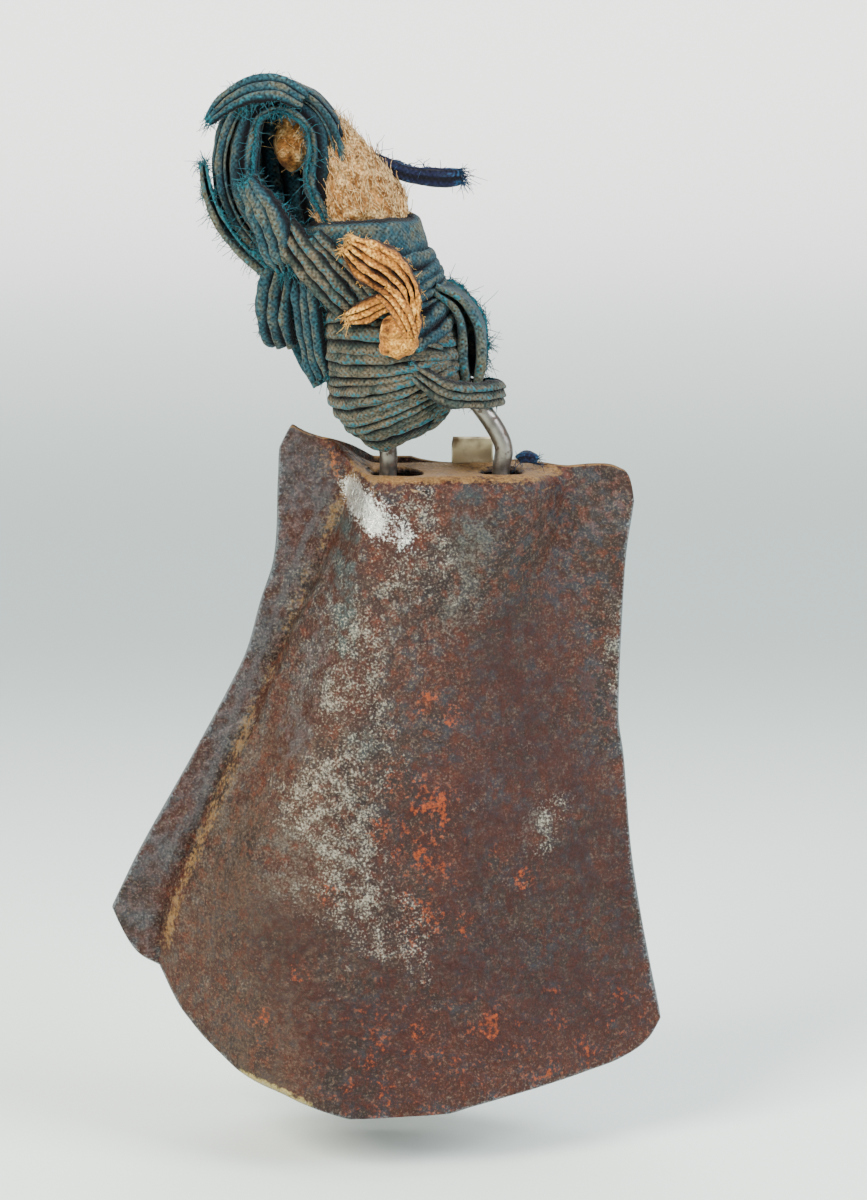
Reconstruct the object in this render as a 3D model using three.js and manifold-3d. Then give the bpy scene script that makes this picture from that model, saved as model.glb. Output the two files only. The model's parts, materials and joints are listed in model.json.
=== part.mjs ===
// A hand bell of forged sheet iron with a ring handle bound in strips of blue cotton.
//
// Two sheets make the body. They lie face to face along the wide left wing and the right edge,
// and swell apart between them. The front sheet folds back at the top as a flat crown. An iron
// ring, the bail, runs through two holes in the crown, and the binding covers all of it above.
// A strap behind the crown holds the clapper by a link.
//
// Millimetres, +Z up, +X to the right of someone facing the front, which looks along -Y.
// The bell leans to the right as it stands on the low middle of its curved lip.

import * as THREE from 'three';
import { mergeVertices } from 'three/addons/utils/BufferGeometryUtils.js';
import Module from 'manifold-3d';

const wasm = await Module();
wasm.setup();

// ---------------------------------------------------------------- driving dimensions
const CROWN_HEIGHT = 153; // floor to the top of the flat crown
const BODY_WIDTH = 133.5; // tip of the left wing to the right corner of the lip
const MOUTH_DEPTH = 56; // front lip to back lip, between the middles of the sheets
const CROWN_DEPTH = 25; // front crease of the crown to the back sheet
const SHEET = 1.4; // thickness of the iron sheet
const LAP_GAP = 0.4; // air between the two sheets where they lie together
const CREASE_RADIUS = 3; // fold between the front and the crown
const CROWN_SAG = 0.8; // how far the middle of the crown dips
const GUSSET_TUCK = 3.2; // how far the folds at the ends of the crown stay forward of the back sheet
const SHEET_CLEARANCE = 0.3; // least air between the sheets anywhere
const TOOL_REACH = 8; // how far a cutting tool reaches through a sheet, in thicknesses of it

const ROD = 4.4; // diameter of the bail
const LEFT_LEG_X = -2.6;
const RIGHT_LEG_X = 24.4;
const BAIL_DROP = 8; // middle of the bail below the crown, inside
const LEFT_HOLE = 11.4; // diameters of the crown holes
const RIGHT_HOLE = 9;
const LEFT_HOLE_SHIFT = 1.3; // the left hole is worn away from the leg by this much

const CLOTH_GAP = 0.35; // air kept between neighbouring pieces of the handle

const STRAP_WIDTH = 10;
const STRAP_THICKNESS = 1.3;
const STRAP_X = 17.6;
const STRAP_GAP = 0.95; // air between the strap and the back sheet
const STRAP_Y = (CROWN_DEPTH - SHEET - STRAP_THICKNESS) / 2 - STRAP_GAP;
const STRAP_RISE = 6; // the tongue of it above the crown
const STRAP_BEND = 6; // it runs straight down this far below the crown, and then bends forward
const STRAP_STEP = 0.6; // each bend is eased over this much
const STRAP_FOOT = 14.4; // below the crown, where it hangs straight again
const STRAP_NARROWING = 0.85; // its foot is narrower by this factor
const STRAP_HOLE = 5.6; // hole for the link
const PIVOT_Y = 0; // where the strap brings the clapper under the middle of the crown
const PIVOT_DROP = 18; // link hole below the crown

const LINK_WIRE = 2.6;
const LINK_SIZE = 14; // outside diameter of the link
const CLAPPER_WIRE = 4; // rod of the clapper
const CLAPPER_EYE = 11; // outside diameter of its eye
const CLAPPER_LENGTH = 94; // link to the end of the rod
const BOB_WIDTH = 13;
const BOB_LENGTH = 25;
// The outline of the bob: radius and height as parts of its own.
const BOB_OUTLINE = [[0.72, 0], [0.94, 0.12], [1, 0.3], [0.86, 0.6], [0.62, 0.88]];
const BOB_NECK = 0.8; // how much wider than its bore the bob is at the top
const HEAD_SIZE = 0.8; // radius of the riveted end, in diameters of the rod
const RUNNING_GAP = 0.35; // between a ring and what it hangs on

// ---------------------------------------------------------------- outlines of the body
// Sideways places are parts of the width and heights are parts of the crown's height,
// so both scale with the body. Each list runs from low to high.
const WING_EDGE = [
  [0.294, -0.524], [0.382, -0.476], [0.531, -0.381], [0.653, -0.306], [0.706, -0.277],
  [0.788, -0.25], [0.855, -0.226], [0.99, -0.216], [1.04, -0.212], [1.08, -0.196],
];
const VALLEY = [
  [0, -0.444], [0.196, -0.436], [0.269, -0.43], [0.369, -0.39], [0.494, -0.331],
  [0.63, -0.253], [0.733, -0.203], [0.85, -0.139], [0.985, -0.094], [1.06, -0.145],
];
const RIGHT_EDGE = [
  [0, 0.49], [0.105, 0.479], [0.199, 0.458], [0.282, 0.44], [0.39, 0.421],
  [0.541, 0.406], [0.611, 0.396], [0.765, 0.401], [0.871, 0.408], [0.961, 0.422], [1.02, 0.424],
];
// Height of the lip and of the top edge, against the place across the bulge:
// 0 is the valley beside the wing, and 1 is the right edge.
const LIP = [
  [0, 0.196], [0.054, 0.131], [0.154, 0.063], [0.26, 0.03], [0.36, 0.003], [0.4, -0.005],
  [0.54, -0.005], [0.62, 0.008], [0.75, 0.026], [0.85, 0.039], [0.916, 0.052], [0.97, 0.078], [1, 0.11],
];
const TOP_EDGE = [
  [0, 1.05], [0.1, 1.046], [0.2, 1.01], [0.6, 1], [0.75, 1.004], [0.87, 1.008],
  [0.94, 1.002], [0.98, 0.985], [1, 0.95],
];
// The same across the wing: 0 is its free edge, and 1 is the valley.
const WING_LIP = [[0, 0.294], [0.12, 0.27], [0.45, 0.225], [1, 0.196]];
const WING_TOP = [[0, 1.035], [0.18, 1.07], [0.45, 1.064], [1, 1.05]];
// Where the crown starts and ends across the bulge, as its rise and its fall.
const CROWN_RISE = [0.0, 0.1];
const CROWN_FALL = [0.6, 0.78];
// Place of the ridge of the bulge, against height.
const RIDGE = [[0, 0.4], [0.45, 0.31], [0.75, 0.24], [1, 0.2]];
const RISE_POWER = 0.9; // below 1 the bulge leaves the valley more steeply
const FALL_POWER = 1.15; // above 1 it flattens sooner towards the right edge
const FLAT_EDGE = 0.86; // place near the crown from which the sheets lie together again
const CROWN_BLEND = 0.7; // height from which the outline of the crown takes over
const EAR_RISE = 0.02; // the last rows keep at least this part of the height
const BACK_TOP = 1.006; // the back sheet's top edge behind the crown

const PANEL_ROWS = 14;
const TOP_ROWS = 7;
const WING_COLUMNS = 3;
const BULGE_COLUMNS = 18;
const COLUMN_CROWDING = 0.075; // how much the columns crowd towards the borders of the bulge
const CREASE_PART = 3; // the crease takes one third of the crown's rows

// ---------------------------------------------------------------- small tools
const vec = (x, y, z) => new THREE.Vector3(x, y, z);
const mix = THREE.MathUtils.lerp;
const ease = THREE.MathUtils.smoothstep;

// A smooth curve through a list of [place, value] pairs.
function along(list, place) {
  let i = 0;
  while (i < list.length - 2 && place > list[i + 1][0]) i += 1;
  const [x0, y0] = list[i];
  const [x1, y1] = list[i + 1];
  const step = x1 - x0;
  const t = THREE.MathUtils.clamp((place - x0) / step, 0, 1);
  const slope = (y1 - y0) / step;
  const before = i > 0 ? (y0 - list[i - 1][1]) / (x0 - list[i - 1][0]) : slope;
  const after = i < list.length - 2 ? (list[i + 2][1] - y1) / (list[i + 2][0] - x1) : slope;
  const m0 = before * slope > 0 ? (before + slope) / 2 : 0;
  const m1 = after * slope > 0 ? (after + slope) / 2 : 0;
  const start = i > 0 ? m0 : slope;
  const end = i < list.length - 2 ? m1 : slope;
  const t2 = t * t;
  const t3 = t2 * t;
  return (2 * t3 - 3 * t2 + 1) * y0 + (t3 - 2 * t2 + t) * step * start
    + (3 * t2 - 2 * t3) * y1 + (t3 - t2) * step * end;
}

function geometryOf(points, triangles) {
  const geometry = new THREE.BufferGeometry();
  const numbers = points.flatMap((p) => [p.x, p.y, p.z]);
  geometry.setAttribute('position', new THREE.Float32BufferAttribute(numbers, 3));
  geometry.setIndex(triangles);
  return geometry;
}

function toSolid(geometry) {
  const bare = geometry.clone();
  bare.deleteAttribute('normal');
  bare.deleteAttribute('uv');
  const merged = mergeVertices(bare);
  return new wasm.Manifold(new wasm.Mesh({
    numProp: 3,
    vertProperties: new Float32Array(merged.attributes.position.array),
    triVerts: new Uint32Array(merged.index.array),
  }));
}

function toGeometry(solid) {
  const mesh = solid.getMesh();
  const geometry = new THREE.BufferGeometry();
  geometry.setAttribute('position', new THREE.BufferAttribute(mesh.vertProperties, 3));
  geometry.setIndex(new THREE.BufferAttribute(mesh.triVerts, 1));
  return geometry;
}

// Takes the tools away from a blank and keeps the largest body that is left.
function carve(blank, tools) {
  const left = tools.reduce((solid, tool) => solid.subtract(tool), blank);
  const bodies = left.decompose();
  return bodies.reduce((best, body) => (body.volume() > best.volume() ? body : best));
}

// A closed solid from a grid of points in the middle of a sheet. Rows run up, columns across.
function sheetSolid(rows, thickness) {
  const height = rows.length;
  const width = rows[0].length;
  const at = (j, i) => rows[THREE.MathUtils.clamp(j, 0, height - 1)][THREE.MathUtils.clamp(i, 0, width - 1)];
  const faces = [[], []];
  rows.forEach((row, j) => row.forEach((point, i) => {
    const across = at(j, i + 1).clone().sub(at(j, i - 1));
    const up = at(j + 1, i).clone().sub(at(j - 1, i));
    const normal = across.cross(up).normalize().multiplyScalar(thickness / 2);
    faces[0].push(point.clone().add(normal));
    faces[1].push(point.clone().sub(normal));
  }));
  const outer = (j, i) => j * width + i;
  const inner = (j, i) => height * width + j * width + i;
  const triangles = [];
  for (let j = 0; j < height - 1; j += 1) {
    for (let i = 0; i < width - 1; i += 1) {
      triangles.push(outer(j, i), outer(j, i + 1), outer(j + 1, i + 1));
      triangles.push(outer(j, i), outer(j + 1, i + 1), outer(j + 1, i));
      triangles.push(inner(j, i), inner(j + 1, i + 1), inner(j, i + 1));
      triangles.push(inner(j, i), inner(j + 1, i), inner(j + 1, i + 1));
    }
  }
  const rim = [];
  for (let i = 0; i < width - 1; i += 1) rim.push([0, i]);
  for (let j = 0; j < height - 1; j += 1) rim.push([j, width - 1]);
  for (let i = width - 1; i > 0; i -= 1) rim.push([height - 1, i]);
  for (let j = height - 1; j > 0; j -= 1) rim.push([j, 0]);
  rim.forEach((here, k) => {
    const next = rim[(k + 1) % rim.length];
    triangles.push(outer(...here), inner(...here), inner(...next));
    triangles.push(outer(...here), inner(...next), outer(...next));
  });
  return geometryOf([...faces[0], ...faces[1]], triangles);
}

// A closed solid with a rounded section swept along stations. Each station is
// [x, y, z, half size outwards, half size across]; outwards says which way the first lies.
// A square value below 1 makes the section boxier, as a folded strip is.
const LEAST_HALF_SIZE = 0.3; // a section never gets thinner than this
function sweep(stations, { outwards, sides = 8, steps = 24, square = 1, closed = false, grow = 0 }) {
  const path = new THREE.CatmullRomCurve3(stations.map((s) => vec(s[0], s[1], s[2])), closed);
  const sizes = new THREE.CatmullRomCurve3(stations.map((s) => vec(s[3], s[4], 0)), closed);
  const points = [];
  const triangles = [];
  const rings = closed ? steps : steps + 1;
  const bend = (value) => Math.sign(value) * Math.abs(value) ** square;
  for (let k = 0; k < rings; k += 1) {
    const t = k / steps;
    const tangent = path.getTangent(t);
    const centre = path.getPoint(t);
    if (!closed && k === 0) centre.addScaledVector(tangent, -grow);
    if (!closed && k === steps) centre.addScaledVector(tangent, grow);
    const size = sizes.getPoint(t);
    const out = outwards(centre).clone();
    out.addScaledVector(tangent, -out.dot(tangent)).normalize();
    const across = tangent.clone().cross(out);
    for (let side = 0; side < sides; side += 1) {
      const angle = (side / sides) * Math.PI * 2;
      points.push(centre.clone()
        .addScaledVector(out, (Math.max(size.x, LEAST_HALF_SIZE) + grow) * bend(Math.cos(angle)))
        .addScaledVector(across, (Math.max(size.y, LEAST_HALF_SIZE) + grow) * bend(Math.sin(angle))));
    }
  }
  const index = (ring, side) => (ring % rings) * sides + (side % sides);
  for (let ring = 0; ring < steps; ring += 1) {
    for (let side = 0; side < sides; side += 1) {
      triangles.push(index(ring, side), index(ring, side + 1), index(ring + 1, side + 1));
      triangles.push(index(ring, side), index(ring + 1, side + 1), index(ring + 1, side));
    }
  }
  if (!closed) {
    for (let side = 1; side < sides - 1; side += 1) {
      triangles.push(index(0, 0), index(0, side + 1), index(0, side));
      triangles.push(index(steps, 0), index(steps, side), index(steps, side + 1));
    }
  }
  return geometryOf(points, triangles);
}

const bell = new THREE.Group();

function addPiece(name, geometry, colour, roughness, metalness) {
  const material = new THREE.MeshStandardMaterial({ color: colour, roughness, metalness });
  const mesh = new THREE.Mesh(geometry, material);
  mesh.name = name;
  bell.add(mesh);
}

// ---------------------------------------------------------------- the two sheets
// How far the bulge stands out at a place across it, from 0 at its borders to 1 at the ridge.
function bulge(place, height) {
  const ridge = along(RIDGE, THREE.MathUtils.clamp(height, 0, 1));
  const edge = mix(1, FLAT_EDGE, ease(height, 0.5, 1));
  const rise = Math.sin((Math.min(place / ridge, 1) * Math.PI) / 2) ** RISE_POWER;
  const fallen = THREE.MathUtils.clamp((place - ridge) / (edge - ridge), 0, 1);
  const low = place < ridge ? rise : Math.cos((fallen * Math.PI) / 2) ** FALL_POWER;
  const high = ease(place, ...CROWN_RISE) * (1 - ease(place, ...CROWN_FALL));
  return mix(low, high, ease(height, CROWN_BLEND, 1));
}

// One point in the middle of a sheet. side is -1 for the front sheet and 1 for the back one.
// place is negative on the wing, from -1 at its free edge to 0 at the valley.
function sheetPoint(side, place, row) {
  const wing = place < 0;
  const shoulder = 1 - CREASE_RADIUS / CROWN_HEIGHT;
  const lip = wing ? along(WING_LIP, place + 1) : along(LIP, place);
  const earTop = wing ? along(WING_TOP, place + 1) : along(TOP_EDGE, place);
  const onTop = Math.max(row - PANEL_ROWS, 0) / TOP_ROWS;
  const isCrown = wing ? 0 : bulge(place, 1);
  const low = Math.min(shoulder, earTop - EAR_RISE);
  const height = onTop > 0 ? mix(low, earTop, onTop) : mix(lip, low, row / PANEL_ROWS);
  const sideways = (h) => {
    const valley = along(VALLEY, h);
    return wing ? mix(valley, along(WING_EDGE, h), -place) : mix(valley, along(RIGHT_EDGE, h), place);
  };
  const x = BODY_WIDTH * mix(sideways(height), sideways(Math.min(height, low)), isCrown);
  const lapped = (SHEET + LAP_GAP) / 2;
  const depth = mix(MOUTH_DEPTH, CROWN_DEPTH, Math.min(height, 1)) / 2 - lapped;
  const swell = wing ? 0 : bulge(place, Math.min(height, 1));
  if (side > 0 || onTop === 0) {
    const backTop = side > 0 ? mix(height, Math.min(height, BACK_TOP), isCrown) : height;
    return vec(x, side * (lapped + depth * swell), CROWN_HEIGHT * backTop);
  }
  // The crown: a quarter turn at the crease, and then flat to just short of the back sheet.
  const reach = CROWN_DEPTH - SHEET - 2 * LAP_GAP;
  const turn = Math.min(onTop * CREASE_PART, 1) * (Math.PI / 2);
  const flat = Math.max(onTop * CREASE_PART - 1, 0) / (CREASE_PART - 1);
  const tuck = GUSSET_TUCK * 4 * isCrown * (1 - isCrown);
  const crownY = -lapped - depth + CREASE_RADIUS * (1 - Math.cos(turn)) + (reach - CREASE_RADIUS - tuck) * flat;
  const sag = CROWN_SAG * Math.sin(flat * Math.PI);
  const crownZ = CROWN_HEIGHT - SHEET / 2 - sag - CREASE_RADIUS * (1 - Math.sin(turn));
  const y = mix(-lapped, crownY, isCrown);
  return vec(x, y, mix(CROWN_HEIGHT * height, crownZ, isCrown));
}

function sheet(side, thickness) {
  const places = [];
  for (let i = 0; i < WING_COLUMNS; i += 1) places.push(i / WING_COLUMNS - 1);
  for (let i = 0; i <= BULGE_COLUMNS; i += 1) {
    const even = i / BULGE_COLUMNS;
    places.push(even - COLUMN_CROWDING * Math.sin(2 * Math.PI * even));
  }
  const rows = [];
  for (let row = 0; row <= PANEL_ROWS + TOP_ROWS; row += 1) {
    const points = places.map((place) => sheetPoint(side, place, row));
    rows.push(side < 0 ? points : points.reverse());
  }
  return sheetSolid(rows, thickness);
}

function holeTool(x, y, diameter) {
  const tool = new THREE.CylinderGeometry(diameter / 2, diameter / 2, TOOL_REACH * SHEET, 32);
  tool.rotateX(Math.PI / 2);
  tool.translate(x, y, CROWN_HEIGHT - SHEET);
  return toSolid(tool);
}

function strapNotch() {
  const depth = STRAP_THICKNESS + 2 * LAP_GAP;
  const tool = new THREE.BoxGeometry(STRAP_WIDTH + 2 * LAP_GAP, depth, TOOL_REACH * SHEET);
  tool.translate(STRAP_X, STRAP_Y, CROWN_HEIGHT - SHEET);
  return toSolid(tool);
}

// The lip is worn flat where the bell stands on it.
function floorTool() {
  const tool = new THREE.BoxGeometry(2 * BODY_WIDTH, 2 * MOUTH_DEPTH, MOUTH_DEPTH);
  tool.translate(0, 0, -MOUTH_DEPTH / 2);
  return toSolid(tool);
}

const frontTools = [
  floorTool(),
  holeTool(LEFT_LEG_X + (LEFT_HOLE - ROD) / 2 - LEFT_HOLE_SHIFT, 0, LEFT_HOLE),
  holeTool(RIGHT_LEG_X, 0, RIGHT_HOLE),
  strapNotch(),
  toSolid(sheet(1, SHEET + 2 * SHEET_CLEARANCE)),
];
addPiece('front_shell', toGeometry(carve(toSolid(sheet(-1, SHEET)), frontTools)), '#5f453d', 0.7, 0.6);
addPiece('back_shell', toGeometry(carve(toSolid(sheet(1, SHEET)), [floorTool()])), '#5b4640', 0.7, 0.6);

// ---------------------------------------------------------------- the strap and the scrap
// The strap stands up behind the crown, runs down inside and bends forward under the bail.
function strap() {
  const half = STRAP_THICKNESS / 2;
  const path = [
    [STRAP_Y, STRAP_RISE], [STRAP_Y, -STRAP_BEND], [STRAP_Y - STRAP_STEP, -STRAP_BEND - 2.2],
    [PIVOT_Y + 0.8, -STRAP_FOOT + 1.6], [PIVOT_Y, -STRAP_FOOT], [PIVOT_Y, -PIVOT_DROP - STRAP_HOLE / 2 - 2],
  ];
  const rows = path.map(([y, z]) => [-STRAP_WIDTH / 2, 0, STRAP_WIDTH / 2].map((x) => {
    const narrow = z <= -STRAP_FOOT ? STRAP_NARROWING : 1;
    return vec(STRAP_X + x * narrow, y, CROWN_HEIGHT + z);
  }));
  const blank = toSolid(sheetSolid(rows.reverse(), 2 * half));
  const tool = new THREE.CylinderGeometry(STRAP_HOLE / 2, STRAP_HOLE / 2, TOOL_REACH * half, 24);
  tool.translate(STRAP_X, PIVOT_Y, CROWN_HEIGHT - PIVOT_DROP);
  return toGeometry(carve(blank, [toSolid(tool)]));
}
addPiece('hanger_strap', strap(), '#b9a884', 0.45, 0.8);

// A dark twist of rag lies on the crown beside the right leg.
function scrap() {
  const top = CROWN_HEIGHT + 2.2;
  const start = RIGHT_LEG_X + RIGHT_HOLE / 2;
  const stations = [
    [start - 0.4, 1, top, 0.9, 1], [start + 1.6, 0.4, top + 0.5, 1.8, 2], [start + 4, 0.6, top - 0.1, 1.4, 2],
  ];
  return sweep(stations, { outwards: () => vec(0, 0, 1), sides: 8, steps: 8 });
}
addPiece('crown_scrap', scrap(), '#2d2a30', 0.95, 0);

// ---------------------------------------------------------------- the handle
// Stations of the handle are given from the crown's height: [x, y, z above the crown, sizes].
const lifted = (stations) => stations.map(([x, y, z, a, b]) => [x, y, CROWN_HEIGHT + z, a, b]);
const front = () => vec(0, -1, 0);
const HANDLE_MIDDLE = vec(-6, 0, 40);
const HANDLE_LEAN = vec(-0.39, 0, 0.92);
// Away from the leaning middle line of the handle.
function fromHandle(point) {
  const offset = vec(point.x, point.y, point.z - CROWN_HEIGHT).sub(HANDLE_MIDDLE);
  return offset.addScaledVector(HANDLE_LEAN, -offset.dot(HANDLE_LEAN)).normalize();
}

const r = ROD / 2;
const BAIL_PATH = [
  [LEFT_LEG_X, 0, -2], [LEFT_LEG_X, 0, 5], [-6, 0, 16], [-11, 0, 28], [-17.5, 0, 40], [-26, 0, 52],
  [-34, 0, 61], [-38.2, 0, 72], [-36, 0, 82], [-28.3, 0, 87.2], [-20, 0, 82.5], [-17.4, 0, 72],
  [-12.5, 0, 58], [-3, 0, 44], [8, 0, 29.5], [16.5, 0, 18.5], [22.6, 0, 10.5],
  [RIGHT_LEG_X + 0.6, 0, 5], [RIGHT_LEG_X, 0, 0.5], [RIGHT_LEG_X - 0.4, 0, -4.4],
  [RIGHT_LEG_X - 5, 0, -BAIL_DROP], [(LEFT_LEG_X + RIGHT_LEG_X) / 2, 0, -BAIL_DROP],
  [LEFT_LEG_X + 5, 0, -BAIL_DROP], [LEFT_LEG_X + 0.6, 0, -5],
].map(([x, y, z]) => [x, y, z, r, r]);

const bail = (grow) => sweep(lifted(BAIL_PATH), {
  outwards: () => vec(0, 1, 0), sides: 8, steps: 66, closed: true, grow,
});

// Each piece of the binding, from the innermost out. The ones named first keep their shape,
// and the later ones are cut clear of them.
const BINDING = {
  loop_outer: [[
    [-15, 0, 54, 1.9, 7], [-13.6, 0, 66, 2, 7.5], [-14.4, 0, 79, 2, 7.5], [-19.6, 0, 88, 1.8, 7],
    [-28, 0, 91.6, 1.6, 6.5], [-36, 0, 88.6, 1.8, 6.5], [-41, 0, 80, 1.9, 7], [-42, 0, 70, 2, 7],
    [-38.6, 0, 60, 1.9, 6.5], [-32.5, 0, 52, 1.6, 6],
  ], { outwards: (p) => vec(p.x + 28, 0, p.z - CROWN_HEIGHT - 72), square: 0.7, steps: 20 }, '#3c5f68'],
  loop_inner: [[
    [-25, -1, 60, 1.4, 6], [-23.4, -1, 71, 1.6, 6], [-22.8, -1, 78, 1.6, 6], [-25, -1, 83, 1.1, 5.5],
    [-28.6, -1, 84, 0.9, 5.5], [-32, -1, 82.4, 1.2, 5.5], [-34, -1, 76, 1.5, 6], [-34.6, -1, 67, 1.5, 6],
    [-33, -1, 60, 1.2, 5.5],
  ], { outwards: (p) => vec(p.x + 28, 0, p.z - CROWN_HEIGHT - 70), square: 0.7, steps: 18 }, '#35606b'],
  ochre_knot: [[
    [-10, -15, 54, 1, 3], [-5, -16.4, 50.5, 1.8, 5], [0.6, -17.4, 45, 2, 4.6], [2, -18, 40.6, 2.8, 3.2],
    [0, -18.2, 35.4, 3.4, 4.8], [0, -17.6, 32, 2.2, 3],
  ], { outwards: front, steps: 10 }, '#b98a55'],
  diagonal_strip: [[
    [-33, -8.8, 66, 1, 4], [-27, -10.4, 60, 1.2, 5], [-20, -13.6, 51.5, 1.2, 5], [-13, -15.6, 42, 1.1, 4.6],
  ], { outwards: front, square: 0.7, steps: 8 }, '#4d6264'],
  side_fold: [[
    [14.4, 0, 38.4, 1.2, 5], [19.4, 0, 35, 1.7, 6], [21.4, 0, 28.5, 1.9, 6.4], [20.8, 0, 22.4, 1.5, 6],
  ], { outwards: (p) => vec(p.x - 8, 0, p.z - CROWN_HEIGHT - 26), square: 0.7, steps: 9 }, '#45606a'],
  tie_band: [[
    [4, -15.6, 25, 1, 2], [11, -14.8, 20, 1.1, 2.6], [18.6, -10, 18, 1.1, 2.8], [23.6, -3, 17.4, 1.1, 3],
    [23, 4.5, 16.8, 1.1, 2.8], [16, 10.6, 17.6, 1, 2.4],
  ], { outwards: (p) => vec(p.x - 8, p.y, 0), square: 0.7, steps: 13 }, '#4f6a6b'],
  hanging_loop: [[
    [-26.4, -1, 49.6, 1.2, 5], [-31.6, -2, 43, 1.9, 5.2], [-31.6, -2, 35, 1.9, 5], [-27, -2, 30.6, 1.6, 4.6],
    [-22, -1, 26.4, 1.4, 4.4], [-18.4, 0, 20.6, 1, 4],
  ], { outwards: (p) => vec(p.x + 10, 0, 0), square: 0.7, steps: 13 }, '#3f646d'],
  wing_strip: [[
    [-46, -2, 73, 0.8, 3], [-45.6, -2, 66.5, 1, 3.6], [-42.4, -2, 58, 1.1, 4], [-36.4, -2, 50.6, 1, 4],
  ], { outwards: (p) => vec(p.x + 28, 0, p.z - CROWN_HEIGHT - 76), square: 0.7, steps: 8 }, '#2f5d6a'],
  top_tail: [[
    [-29, -2, 94.4, 0.6, 2.6], [-35, -2, 93, 0.7, 3], [-40, -2, 89, 0.8, 2.8], [-43.4, -2, 84.6, 0.6, 1.6],
  ], { outwards: (p) => vec(p.x + 28, 0, p.z - CROWN_HEIGHT - 76), square: 0.7, steps: 7 }, '#2f6270'],
  right_tail: [[
    [-3.4, 2, 73.4, 1.4, 1.8], [2, 2, 71, 1.7, 2.2], [8, 1.6, 70, 1.8, 2.4], [14.2, 1.6, 69.6, 1.4, 2.2],
  ], { outwards: () => vec(0, 1, 0), steps: 8 }, '#1f2f4c'],
  grip_wrap: [[
    [-2.8, 0, 4.4, 3.4, 3.4], [-2.6, 0, 7, 5.6, 5.2], [-1.8, 0, 11, 10.4, 9], [-1.2, 0, 16, 13.6, 12.4],
    [-0.8, 0, 23, 15, 14], [-1.8, 0, 30.6, 15.4, 14.2], [-3.4, 0, 38.2, 14.6, 13.4],
  ], { outwards: () => vec(1, 0, 0), sides: 14, steps: 10 }, '#565b57'],
  upper_wrap: [[
    [-3.6, 0, 39, 14.8, 13.4], [-5.4, 0, 46, 15, 13.4], [-7.4, 0, 53.6, 13.8, 12.4], [-8.6, 0, 60, 12.4, 11],
  ], { outwards: () => vec(1, 0, 0), sides: 14, steps: 5 }, '#4b676b'],
  handle_core: [[
    [0, 0, 12, 5, 5], [-2, 0, 22, 9, 8.6], [-4.4, 0, 34, 10.4, 9.6], [-6, 0, 46, 10.6, 9.8],
    [-8, 0, 58, 10.6, 9.8], [-9, 0, 66, 10.4, 9.4], [-12, 0, 75.5, 7.6, 7], [-14.4, 0, 82, 2.4, 2.4],
  ], { outwards: () => vec(1, 0, 0), sides: 12, steps: 12 }, '#b08a5c'],
};

// The two wraps are sleeves over the core, so the core is cut first and keeps its shape.
const CUT_ORDER = [
  'loop_outer', 'loop_inner', 'ochre_knot', 'diagonal_strip', 'side_fold', 'tie_band', 'hanging_loop',
  'wing_strip', 'top_tail', 'right_tail', 'handle_core', 'grip_wrap', 'upper_wrap',
];

addPiece('bail', bail(0), '#77706a', 0.4, 0.9);
const taken = [toSolid(bail(CLOTH_GAP))];
for (const name of CUT_ORDER) {
  const [stations, options, colour] = BINDING[name];
  const blank = toSolid(sweep(lifted(stations), options));
  addPiece(name, toGeometry(carve(blank, taken)), colour, 0.95, 0);
  taken.push(toSolid(sweep(lifted(stations), { ...options, grow: CLOTH_GAP })));
}

// ---------------------------------------------------------------- the clapper
const pivotZ = CROWN_HEIGHT - PIVOT_DROP;
// The link hangs by its own wire in the strap's hole, and the clapper's eye hangs in the link.
const linkRadius = (LINK_SIZE - LINK_WIRE) / 2;
const linkZ = pivotZ - linkRadius;
const link = new THREE.TorusGeometry(linkRadius, LINK_WIRE / 2, 8, 20);
link.rotateY(Math.PI / 2);
link.translate(STRAP_X, PIVOT_Y, linkZ);
addPiece('clapper_link', link, '#6b625b', 0.5, 0.9);

const eyeRadius = (CLAPPER_EYE - LINK_WIRE) / 2;
const eyeZ = linkZ - linkRadius + LINK_WIRE / 2 + RUNNING_GAP + LINK_WIRE / 2 - eyeRadius;
function clapperRod() {
  const eye = new THREE.TorusGeometry(eyeRadius, LINK_WIRE / 2, 8, 20);
  eye.rotateX(Math.PI / 2);
  eye.translate(STRAP_X, PIVOT_Y, eyeZ);
  const top = eyeZ - eyeRadius;
  const bottom = linkZ - linkRadius - CLAPPER_LENGTH;
  const shank = new THREE.CylinderGeometry(CLAPPER_WIRE / 2, CLAPPER_WIRE / 2, top - bottom, 10);
  shank.rotateX(Math.PI / 2);
  shank.translate(STRAP_X, PIVOT_Y, (top + bottom) / 2);
  const head = new THREE.SphereGeometry(CLAPPER_WIRE * HEAD_SIZE, 10, 6);
  head.translate(STRAP_X, PIVOT_Y, bottom);
  return toGeometry(toSolid(eye).add(toSolid(shank)).add(toSolid(head)));
}
addPiece('clapper_rod', clapperRod(), '#5d544e', 0.6, 0.9);

// The bob is a turned pear of iron with the rod through it, held by the rod's riveted end.
function bob() {
  const bottom = linkZ - linkRadius - CLAPPER_LENGTH + CLAPPER_WIRE * HEAD_SIZE + RUNNING_GAP;
  const bore = CLAPPER_WIRE / 2 + RUNNING_GAP;
  const wide = BOB_WIDTH / 2;
  const profile = [
    [bore, 0], ...BOB_OUTLINE.map(([x, z]) => [wide * x, BOB_LENGTH * z]),
    [bore + BOB_NECK, BOB_LENGTH], [bore, BOB_LENGTH], [bore, 0],
  ].map(([x, y]) => new THREE.Vector2(x, y));
  const solid = new THREE.LatheGeometry(profile, 16);
  solid.rotateX(Math.PI / 2);
  solid.translate(STRAP_X, PIVOT_Y, bottom);
  return solid;
}
addPiece('clapper_bob', bob(), '#554b46', 0.65, 0.9);

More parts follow.
